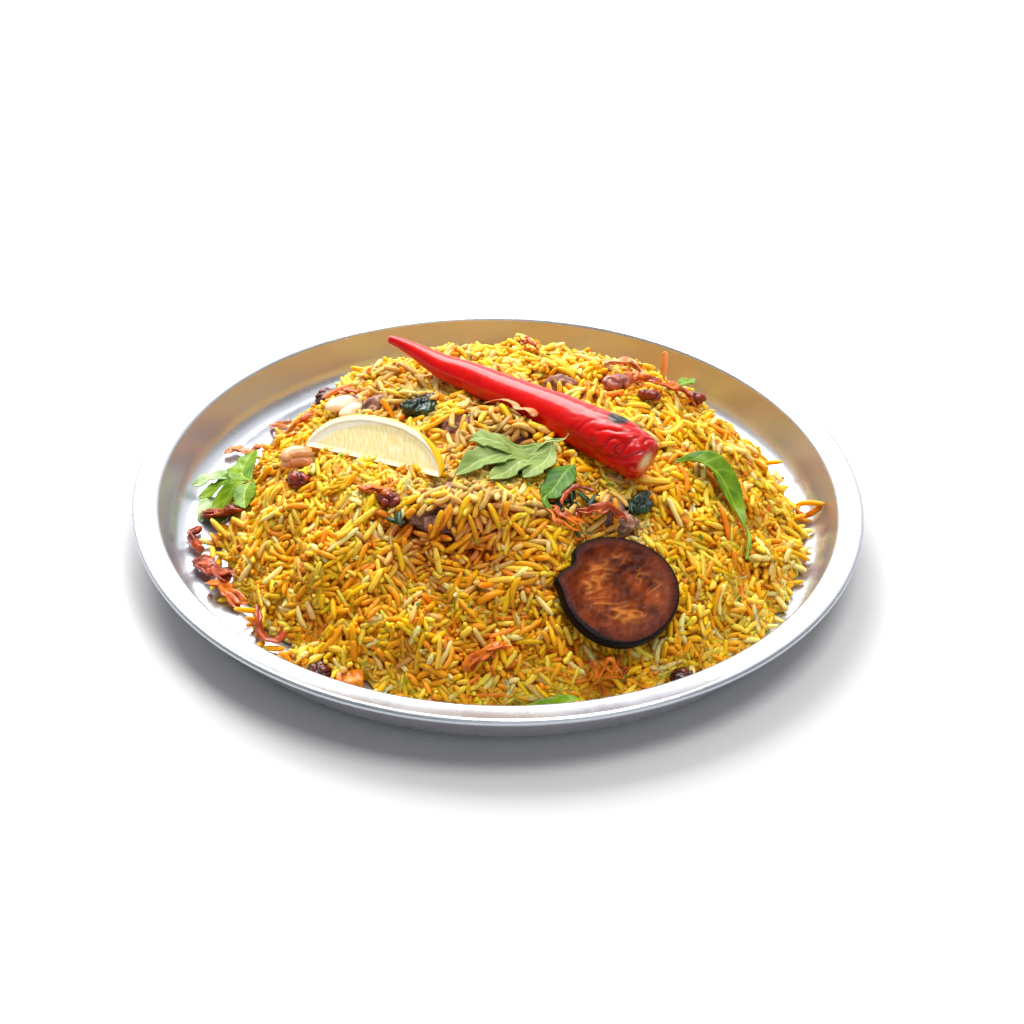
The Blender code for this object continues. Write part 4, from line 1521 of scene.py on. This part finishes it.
class BIRYANI_OT_nuts(Operator):
    """Shape the split almond and the two halves of the cashew"""
    bl_idname = "biryani.nuts"
    bl_label = "Nuts"

    def execute(self, context):
        low, high = box_of("almond_back")
        middle, half = (low + high) / 2, (high - low) / 2
        nuts = []
        for shift, turn, size in (((-1.2, 1.6, 0.6), 0.45, 0.92), ((2.2, -2.6, 0.2), 0.75, 0.74)):
            flat = np.array([half[0], half[1] * 0.62, half[2]]) * size
            nuts.append(wrinkled_ball("almond_half", middle + np.array(shift), flat, turn, 0.12,
                                      4 + turn, 0.2))
        almond = joined(nuts, "almond_split")
        cream = mottled_material("Almond", srgb(226, 196, 156), srgb(246, 230, 204), 90, 0.35,
                                 (0.2, 0.0003, 300, 900), coat=0.2, scatter=0.3)
        settle(almond, cream, ("almond_back",))
        low, high = box_of("cashew_front")
        middle, half = (low + high) / 2, (high - low) / 2
        halves = []
        for tilt, shift in ((0.0, (0, 0, -0.6)), (0.22, (0.6, 1.6, 2.0))):
            line = []
            for k in range(7):
                angle = math.radians(15 + 160 * (k / 6 - 0.5) + 90) + tilt
                line.append(middle + np.array(shift) + np.array([
                    half[0] * 0.72 * math.cos(angle), half[1] * 0.8 * (math.sin(angle) - 0.5), 0]))
            halves.append(swept("cashew_half", line, lambda s, t: 3.1 * round_end(s, 2.6),
                                lambda s, t: 2.6 * round_end(s, 2.6), 32, 40))
        cashew = joined(halves, "cashew_halves")
        tan = mottled_material("Cashew", srgb(206, 130, 78), srgb(240, 186, 136), 120, 0.3,
                               (0.2, 0.0003, 300, 900), coat=0.4, scatter=0.3)
        settle(cashew, tan, ("cashew_front",))
        return {"FINISHED"}


class BIRYANI_OT_bits(Operator):
    """Shape the piece of apricot and the strip of carrot"""
    bl_idname = "biryani.bits"
    bl_label = "Apricot and carrot"

    def execute(self, context):
        orange = mottled_material("Dried apricot", srgb(196, 90, 6), srgb(240, 148, 30), 260, 0.35,
                                  (0.5, 0.0006, 300, 900), coat=0.3, scatter=0.3)
        apricot = lump_body("apricot_piece", "apricot_cut", 0.4, 0.45, 0.1, (1, 1, 1), 3.0)
        settle(apricot, orange, ("apricot_piece",))
        carrot = lump_body("carrot_strip", "carrot_cut", 0.3, 0.15, 0.06, (0.4, 1, 1), 8.0)
        skin = mottled_material("Carrot", srgb(226, 112, 26), srgb(250, 164, 66), 160, 0.35,
                                (0.3, 0.0004, 260, 800), coat=0.3, scatter=0.3)
        settle(carrot, skin, ("carrot_strip",))
        return {"FINISHED"}


# ---------------------------------------------------------------- fried onions

# Each packed strip by name: half width, half thickness, strands, spread, lift and its path
ONION_PATHS = {
    "onion_under_chilli": (2.4, 0.3, 1, 0.0, 0.2, ((-6, -2), (1, -7), (8, -12), (13, -17))),
    "onion_left_strip": (2.9, 0.8, 3, 1.8, 1.6, ((-116, -1), (-111, -2), (-105, -6), (-100, -11))),
    "onion_left_loop": (1.7, 0.6, 2, 1.0, 1.0,
                        ((-114, -7), (-117.5, -13), (-116, -19), (-110, -24))),
    "onion_left_clump": (2.3, 0.7, 5, 2.8, 1.0,
                         ((-114, -29), (-110, -34), (-105, -40), (-99, -46))),
    "onion_front_left": (1.2, 0.5, 2, 1.0, 0.4,
                         ((-86, -66), (-84.5, -74), (-79.5, -80), (-75, -76))),
    "onion_back_left": (1.6, 0.4, 2, 1.6, 2.0, ((-97, 39), (-103, 43), (-109, 45), (-113, 41))),
    "onion_back_left_curl": (1.2, 0.35, 2, 1.2, 1.2, ((-90, 54), (-96, 60), (-95, 68), (-88, 68))),
    "onion_over_slice": (1.3, 0.5, 2, 0.9, 0.6, ((27, -59), (33, -59.5), (40, -58.5), (46, -58))),
    "onion_loop_right": (1.2, 0.5, 1, 0.0, 1.0, ((23, -57), (24, -51.5), (29.5, -47.5), (35, -50))),
    "onion_back_right": (1.5, 0.5, 2, 1.4, 0.6, ((40, 35), (45, 42), (52, 44), (58, 40))),
}
# Scraps without a packed strip: half width, strands, spread, lift, path
SCRAPS = (
    (1.9, 3, 1.3, 0.2, ((-9, -105), (-4, -102), (3, -100))),
    (1.0, 2, 1.0, 0.1, ((33, -100), (38, -101), (43, -101.5))),
    (1.5, 2, 0.8, 2.2, ((7, 44), (10, 45), (13, 43))),
    (1.4, 4, 2.2, 0.6, ((-108, 20), (-103, 16), (-97, 15))),
    (1.5, 2, 1.0, 0.4, ((-66, 20), (-60, 17), (-54, 14))),
    (1.7, 3, 1.3, 0.2, ((-50, -42), (-45, -45), (-40, -49))),
    (1.6, 4, 2.4, 0.5, ((-106, -46), (-100, -52), (-92, -58))),
    (1.5, 3, 1.6, 0.3, ((48, 28), (54, 34), (62, 34))),
    (1.4, 3, 1.8, 0.2, ((62, 30), (70, 33), (77, 38))),
    (1.3, 3, 1.6, 0.2, ((20, -58), (25, -61), (31, -62))),
    (1.3, 3, 2.0, 0.2, ((-74, 36), (-80, 34), (-86, 30))),
)
PALE_ONIONS = ("onion_under_chilli", "onion_back_left", "onion_back_left_curl", "onion_upright",
               "onion_back_right")


def onion_material(name, dark, light):
    """Fried onion: shiny, see-through brown."""
    material, tree, shader = new_material(name)
    patches = add_group(tree, mottle_group(), first=rgba(dark), second=rgba(light), scale=190,
                        low=0.36, high=0.64)
    tree.links.new(patches.outputs["Color"], shader.inputs["Base Color"])
    dress(shader, roughness=0.34, specular=0.25, coat=0.3, coat_roughness=0.1, scatter=0.4,
          scatter_radius=(1.0, 0.45, 0.2), scatter_size=0.0015)
    add_relief(tree, shader, 0.5, 0.0004, 420, 1300, 0.4)
    return material


def strand(name, line, half_width, half_thickness, rng, segments=14, rings=40):
    """A ragged strip that twists a little along its path."""
    seed = float(rng.uniform(0, 50))
    lean = (float(rng.normal(0, 0.5)), float(rng.normal(0, 0.5)), 1.0)

    def wide(share, turn):
        return half_width * round_end(share, 6) * (0.9 + 0.2 * np.sin(share * 9 + seed))

    def thick(share, turn):
        return half_thickness * round_end(share, 6)

    obj = swept(name, line, wide, thick, segments, rings, lean)
    points = coordinates(obj)
    push = 0.25 * half_thickness * noise_at(points, 0.6, seed)[:, None] * outward(obj)
    push[:, 2] += 0.3 * noise_at(points, 0.22, seed + 9)
    set_coordinates(obj, points + push)
    return obj


def onion_strands(path, count, spread, lift, half_width, half_thickness, rng, arch=0.9):
    """Strands that follow one path over the food, each a little aside."""
    flat = smooth_line(path, np.linspace(0, 1, 9))
    strands = []
    for _ in range(count):
        shift = rng.normal(0, spread * 0.6, 2)
        rows = flat + shift + rng.normal(0, 0.35 + 0.25 * spread, (9, 2))
        rise = arch * np.sin(np.linspace(0, math.pi, 9)) * rng.uniform(0.3, 1.6)
        z = blanket().at(rows[:, 0], rows[:, 1]) + half_thickness + rise
        z += lift * rng.uniform(0.4, 1.3)
        width = half_width * rng.uniform(0.7, 1.15)
        strands.append(strand("strand", np.column_stack([rows, z]), width, half_thickness, rng))
    return strands


class BIRYANI_OT_onions(Operator):
    """Lay the fried onion strips and loops"""
    bl_idname = "biryani.onions"
    bl_label = "Fried onions"

    def execute(self, context):
        rng = np.random.default_rng(21)
        brown = onion_material("Fried onion", srgb(104, 24, 2), srgb(196, 78, 12))
        pale = onion_material("Pale fried onion", srgb(190, 104, 50), srgb(238, 178, 122))
        for name, (width, thickness, count, spread, lift, path) in ONION_PATHS.items():
            strands = onion_strands(path, count, spread, lift, width, thickness, rng)
            piece = joined(strands, name + "_strands")
            settle(piece, pale if name in PALE_ONIONS else brown, (name,))
        scraps = []
        for width, count, spread, lift, path in SCRAPS:
            scraps += onion_strands(path, count, spread, lift, width, 0.45, rng)
        settle(joined(scraps, "onion_scraps"), onion_material(
            "Golden fried onion", srgb(160, 50, 2), srgb(232, 124, 14)))
        low, high = box_of("onion_upright")
        middle = (low + high) / 2
        line = [(middle[0] + a, middle[1], z) for a, z in
                ((0.6, low[2]), (-0.3, middle[2] - 3), (0.3, middle[2] + 4), (0.0, high[2]))]
        upright = swept("onion_upright_strip", line, lambda s, t: 1.3 * round_end(s, 8),
                        lambda s, t: 0.6 * round_end(s, 8), 14, 30, (0, 1, 0.05))
        settle(upright, pale, ("onion_upright",))
        return {"FINISHED"}


# ---------------------------------------------------------------- leaves

def leaf_blade(name, line, half_width, widest_at=0.5, teeth=0, fold=0.22, lift=0.0):
    """A leaf blade along a line, folded a little along its midrib."""
    deselect()
    bpy.ops.mesh.primitive_grid_add(x_subdivisions=48, y_subdivisions=16, size=2)
    leaf = newest(name)
    flat = coordinates(leaf) * MM
    share, side = (flat[:, 0] + 1) / 2, flat[:, 1]
    power = math.log(0.5) / math.log(widest_at)
    width = half_width * np.maximum(np.sin(math.pi * share ** power), 0.0) ** 0.75 + 0.12
    if teeth:
        tooth = np.mod(share * teeth, 1)
        width *= 1 - 0.26 * tooth * np.clip((share - 0.25) / 0.3, 0, 1)
    ahead = unit(smooth_line(line, share + 0.01) - smooth_line(line, share - 0.01))
    across = unit(np.cross((0.0, 0.0, 1.0), ahead))
    forward = 0.35 * np.abs(side) * width if teeth else 0
    points = smooth_line(line, share) + across * (side * width)[:, None]
    points += ahead * np.reshape(forward, (-1, 1))
    rest = blanket().at(points[:, 0], points[:, 1])
    centre = smooth_line(line, share)
    below = blanket().at(centre[:, 0], centre[:, 1])
    wave = 0.35 * np.sin(share * 11 + side * 2) * np.abs(side)
    height = 0.45 * rest + 0.55 * below + lift + fold * np.abs(side) * width + wave
    height += centre[:, 2]
    points[:, 2] = np.maximum(height, rest - 0.4)
    set_coordinates(leaf, points)
    rib = np.exp(-(side * width / 0.35) ** 2)
    branch = np.mod(share * 7 - np.abs(side) * 1.1, 1)
    branches = np.exp(-((branch - 0.5) / 0.10) ** 2) * (1 - 0.5 * np.abs(side))
    attribute(leaf.data, "vein", np.clip(np.maximum(rib, 0.55 * branches), 0, 1))
    attribute(leaf.data, "along", share)
    return leaf


def finish_leaf(blades, name, material, replaced):
    """Join blades, give them thickness and settle them as one leaf."""
    leaf = joined(blades, name)
    apply_modifier(leaf, "SOLIDIFY", thickness=0.35 * MM, offset=0)
    settle(leaf, material, replaced)


def leaf_material(name, body, light, vein, gloss=0.4, coat=0.2):
    """A green leaf with paler veins."""
    material, tree, shader = new_material(name)
    patches = add_group(tree, mottle_group(), first=rgba(body), second=rgba(light), scale=130,
                        low=0.35, high=0.7)
    veined = blend(tree, patches.outputs["Color"], vein, mask(tree, "vein"))
    tree.links.new(veined, shader.inputs["Base Color"])
    dress(shader, roughness=gloss, specular=0.25, coat=coat, scatter=0.2,
          scatter_radius=(0.5, 1.0, 0.2), scatter_size=0.001)
    bump = node(tree, "ShaderNodeBump", strength=0.5, distance=0.0004)
    bump.invert = True
    tree.links.new(mask(tree, "vein"), bump.inputs["Height"])
    tree.links.new(bump.outputs["Normal"], shader.inputs["Normal"])
    return material


def flat_line(*points):
    """Give flat points a height of zero above whatever they lie on."""
    return [(p[0], p[1], p[2] if len(p) > 2 else 0.0) for p in points]


# Name, material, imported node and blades: half width, (widest at, teeth, fold, lift), path,
# a path's third value being its height above whatever it lies on
LEAVES = (
    ("parsley_large", "matt", "leaf_centre_large", (
        (5.2, (0.62, 4), ((19.5, -28), (10, -30, 0.6), (-1, -31, 1), (-11, -30.5))),
        (6.2, (0.6, 4, 0.22, 0.3), ((19.5, -28), (8, -33, 0.8), (-4, -38.5, 1), (-15.5, -45))),
        (5.0, (0.62, 3, 0.22, 0.6), ((19.5, -28), (11, -36, 0.8), (4.5, -43, 0.8), (-3, -50.5))),
        (4.8, (0.55, 3, 0.22, 0.9), ((19.5, -28), (17.5, -35, 0.8), (13.5, -41.5, 1), (9, -47))),
        (0.55, (0.5,), ((25, -26.5, 1.6), (18, -28.5, 1.6), (9, -32, 1.4))))),
    ("parsley_small", "deep", "leaf_centre_small", (
        (5.2, (0.48, 3, 0.1), ((27, -36), (24, -42, 0.8), (20, -49, 0.8), (16, -55))),
        (0.9, (0.5,), ((19, -51, 0.5), (16.5, -56, 0.5), (20, -62, 0.3))))),
    ("leaf_right_blade", "fresh", "leaf_right", (
        (5.2, (0.6, 0, 0.8), ((65, -17), (75, -17.5, 1.5), (85, -22, 2), (92, -33, 1))),
        (0.7, (0.5,), ((92, -28, 0.6), (93.5, -36, 0.8), (92, -44, 0.3))))),
    ("leaf_front_blade", "fresh", "leaf_front", (
        (3.2, (0.5,), ((34, -109), (24, -111), (14, -113), (3, -113))),)),
    ("leaf_back_blade", "fresh", "leaf_back_right", (
        (3.2, (0.45,), ((72, 62), (76, 66, 3), (79, 69, 8))),)),
    ("sprig_fresh", "fresh", "sprig_left", (
        (6.0, (0.5, 4), ((-97, 5), (-101, 12, 3), (-102, 21, 5), (-98, 31, 4))),
        (5.6, (0.55, 3), ((-97, 6), (-103, 5, 3), (-108, 0, 2), (-108, -9))),
        (5.2, (0.5, 3), ((-96, 3), (-98, -3, 2), (-97, -12))),
        (4.6, (0.5, 3, 0.22, 0.6), ((-98, 9), (-105, 14, 4), (-112, 14, 3), (-119, 11, 1))))),
    ("sprig_pale", "pale", "sprig_left", (
        (3.8, (0.5, 3, 0.22, 1.0), ((-103, 14, 2), (-110, 19, 5), (-116, 20, 4), (-122, 16, 1))),
        (3.4, (0.5, 3), ((-110, 12, 1), (-115, 6, 2), (-116, -3, 0))))),
)


class BIRYANI_OT_leaves(Operator):
    """Lay the parsley and the other green leaves"""
    bl_idname = "biryani.leaves"
    bl_label = "Leaves"

    def execute(self, context):
        materials = {
            "matt": leaf_material("Matt leaf", srgb(108, 132, 52), srgb(142, 160, 84),
                                  srgb(178, 192, 124), 0.5, 0.05),
            "deep": leaf_material("Deep leaf", srgb(44, 92, 10), srgb(88, 130, 26),
                                  srgb(124, 158, 60), 0.45, 0.0),
            "fresh": leaf_material("Fresh leaf", srgb(70, 118, 2), srgb(132, 164, 12),
                                   srgb(166, 190, 64), 0.4, 0.1),
            "pale": leaf_material("Pale leaf", srgb(140, 172, 104), srgb(170, 194, 134),
                                  srgb(196, 212, 160), 0.35, 0.3),
        }
        for name, material, node_name, blades in LEAVES:
            parts = [leaf_blade("blade", flat_line(*line), half_width, *shape)
                     for half_width, shape, line in blades]
            finish_leaf(parts, name, materials[material], (node_name,))
        return {"FINISHED"}


# ---------------------------------------------------------------- scattered bits

def scatter_places(rng, count, spots=None):
    """Random places on top of the heap, anywhere or around some round spots."""
    if spots:
        chosen = rng.integers(0, len(spots), count)
        middles = np.array([s[:2] for s in spots])[chosen]
        reach = np.array([s[2] for s in spots])[chosen]
        x, y = (middles + rng.normal(0, 0.5, (count, 2)) * reach[:, None]).T
    else:
        angle = rng.uniform(-math.pi, math.pi, count)
        radius = np.sqrt(rng.uniform(0, 1, count)) * (heap_outline(angle) - 3)
        x, y = radius * np.cos(angle), radius * np.sin(angle)
    top = Surfaces.made["tops"][Surfaces.plate().cells(x, y)]
    sx, sy = Surfaces.heap().slope(x, y)
    return np.stack([x, y, top], 1), unit(np.stack([-sx, -sy, np.ones(count)], 1))


def scatter(name, rng, count, length_of, width_of, flatness, material, slot, spots=None, tilt=0.5):
    """One joined piece of many small bits that lie on the heap."""
    centres, normal = scatter_places(rng, count, spots)
    lengths = rng.uniform(*length_of, count)
    widths = rng.uniform(*width_of, count)
    level = np.cross(normal, rng.normal(0, 1, (count, 3)))
    along = unit(level + rng.normal(0, tilt, (count, 3)) * 0.5)
    side = unit(np.cross(normal, along))
    up = np.cross(along, side)
    shape, faces = grain_shape()
    local = shape[None] * np.stack([lengths, widths, widths * flatness], 1)[:, None]
    bend = 0.35 * rng.normal(0, 1, count) / lengths
    local[:, :, 1] += bend[:, None] * local[:, :, 0] ** 2
    axes = np.stack([along, side, up], 1)
    points = (np.einsum("nvk,nkj->nvj", local, axes) + centres[:, None]).reshape(-1, 3)
    obj = joined_mesh(name, points, faces, len(shape), rng.uniform(0, 1, count))
    return settle(obj, material)


# Where shreds of onion and scraps of greens lie: x, y and reach
SHRED_SPOTS = ((37, -98, 6), (45, -98, 6), (-1, -102, 8), (46, 22, 14), (10, 44, 5), (-40, -50, 7),
               (-104, 8, 7), (-72, 40, 14), (53, 42, 10), (76, 40, 8), (30, -60, 8), (-61, -41, 8))
SCRAP_SPOTS = ((-35, -63, 2.5), (27, -51, 3), (33, -53, 3), (22, -56, 3))


class BIRYANI_OT_scatter(Operator):
    """Strew herb flecks, spice crumbs and shreds of fried onion"""
    bl_idname = "biryani.scatter"
    bl_label = "Herbs and crumbs"

    def execute(self, context):
        rng = np.random.default_rng(5)
        herb = tone_material("Herb flecks", srgb(34, 78, 14), srgb(100, 140, 36))
        crumb = tone_material("Spice crumbs", srgb(170, 84, 20), srgb(236, 150, 50))
        shred = tone_material("Onion shreds", srgb(170, 58, 4), srgb(236, 134, 20))
        scatter("herb_flecks", rng, 130, (1.4, 3.6), (0.8, 1.9), 0.3, herb, "leaf")
        dark = tone_material("Dark green scraps", srgb(14, 34, 20), srgb(34, 66, 34), 0.3)
        scatter("greens_scraps", rng, 14, (4.5, 9.0), (1.8, 3.0), 0.4, dark, "greens",
                SCRAP_SPOTS)
        scatter("spice_crumbs", rng, 150, (1.0, 2.4), (0.8, 1.6), 0.8, crumb, "onion")
        scatter("onion_shreds", rng, 110, (2.5, 6.0), (0.8, 1.6), 0.6, shred, "onion",
                SHRED_SPOTS)
        return {"FINISHED"}


# ---------------------------------------------------------------- stage

CAMERA_PLACE = (0.0053, -0.6392, 0.4552)
CAMERA_PITCH = math.radians(34.96)
CAMERA_ROLL = math.radians(1.63)
CAMERA_LENS = 70.3
LIT_POINT = Vector((0, 0, 0.03))
# Name, place, size and power
LIGHTS = (("key", (-0.35, 0.85, 1.15), 0.9, 26), ("front", (0.5, -1.2, 0.4), 1.6, 5),
          ("top", (0.3, -0.15, 1.4), 0.6, 12))


def add_light(name, place_at, size, power):
    """A square area light that looks at the food."""
    data = bpy.data.lights.new(name, "AREA")
    data.size = size
    data.energy = power
    light = bpy.data.objects.new(name, data)
    light.location = place_at
    light.rotation_euler = (LIT_POINT - Vector(place_at)).to_track_quat("-Z", "Y").to_euler()
    bpy.context.scene.collection.objects.link(light)


def make_world():
    """Soft light that is bright from behind the plate and dim from the diner's side."""
    world = bpy.data.worlds.new("Soft studio")
    bpy.context.scene.world = world
    world.use_nodes = True
    tree = world.node_tree
    background = tree.nodes["Background"]
    place_node = node(tree, "ShaderNodeTexCoord")
    facing = node(tree, "ShaderNodeVectorMath", operation="DOT_PRODUCT")
    facing.inputs[1].default_value = Vector((-0.1, 0.85, 0.5)).normalized()
    spread = node(tree, "ShaderNodeMapRange")
    spread.inputs["From Min"].default_value = -1
    ramp = node(tree, "ShaderNodeValToRGB")
    ramp.color_ramp.elements[0].color = (0.10, 0.11, 0.12, 1)
    ramp.color_ramp.elements[1].color = (1, 1, 1, 1)
    for position, shade in ((0.58, 0.14), (0.74, 0.26), (0.87, 0.8)):
        ramp.color_ramp.elements.new(position).color = (shade, shade, shade * 1.03, 1)
    link = tree.links.new
    link(place_node.outputs["Generated"], facing.inputs[0])
    link(facing.outputs["Value"], spread.inputs["Value"])
    link(spread.outputs["Result"], ramp.inputs["Fac"])
    link(ramp.outputs["Color"], background.inputs["Color"])
    background.inputs["Strength"].default_value = 1.45


class BIRYANI_OT_stage(Operator):
    """Set the pale floor, the soft lights and the camera"""
    bl_idname = "biryani.stage"
    bl_label = "Stage"

    def execute(self, context):
        deselect()
        bpy.ops.mesh.primitive_plane_add(size=8, location=(0, 0, 0))
        floor = newest("floor")
        bpy.ops.object.mode_set(mode="EDIT")
        bpy.ops.mesh.subdivide(number_cuts=6)
        bpy.ops.object.mode_set(mode="OBJECT")
        place(floor)
        material, _, shader = new_material("Pale floor")
        shader.inputs["Base Color"].default_value = (0.62, 0.62, 0.62, 1)
        dress(shader, roughness=0.9)
        floor.data.materials.append(material)
        make_world()
        for light in LIGHTS:
            add_light(*light)
        data = bpy.data.cameras.new("camera")
        data.lens = CAMERA_LENS
        data.sensor_width = 36
        data.clip_start = 0.01
        camera = bpy.data.objects.new("camera", data)
        camera.location = CAMERA_PLACE
        turn = Matrix.Rotation(math.pi / 2 - CAMERA_PITCH, 4, "X")
        camera.matrix_world = (Matrix.Translation(CAMERA_PLACE) @ turn
                               @ Matrix.Rotation(CAMERA_ROLL, 4, "Z"))
        bpy.context.scene.collection.objects.link(camera)
        bpy.context.scene.camera = camera
        bpy.context.scene.view_settings.view_transform = "Standard"
        return {"FINISHED"}


class BIRYANI_PT_panel(Panel):
    """Lists the steps in the sidebar"""
    bl_label = "Biryani"
    bl_idname = "BIRYANI_PT_panel"
    bl_space_type = "VIEW_3D"
    bl_region_type = "UI"
    bl_category = "Biryani"

    def draw(self, context):
        for operator in OPERATORS:
            self.layout.operator(operator.bl_idname)


OPERATORS = (
    BIRYANI_OT_stage,
    BIRYANI_OT_plate,
    BIRYANI_OT_core,
    BIRYANI_OT_grains,
    BIRYANI_OT_chilli,
    BIRYANI_OT_lemon,
    BIRYANI_OT_aubergine,
    BIRYANI_OT_meat,
    BIRYANI_OT_greens,
    BIRYANI_OT_fruit,
    BIRYANI_OT_nuts,
    BIRYANI_OT_bits,
    BIRYANI_OT_onions,
    BIRYANI_OT_leaves,
    BIRYANI_OT_scatter,
)
CLASSES = (BiryaniSizes, BiryaniColours) + OPERATORS + (BIRYANI_PT_panel,)


def register():
    """Register every class and tie the settings to the scene."""
    for item in CLASSES:
        bpy.utils.register_class(item)
    bpy.types.Scene.biryani_sizes = PointerProperty(type=BiryaniSizes)
    bpy.types.Scene.biryani_colours = PointerProperty(type=BiryaniColours)


def unregister():
    """Undo register."""
    del bpy.types.Scene.biryani_sizes
    del bpy.types.Scene.biryani_colours
    for item in reversed(CLASSES):
        bpy.utils.unregister_class(item)


def main():
    """Register the classes and run every step in order."""
    register()
    for operator in OPERATORS:
        group, step = operator.bl_idname.split(".")
        getattr(getattr(bpy.ops, group), step)()


if __name__ == "__main__":
    main()
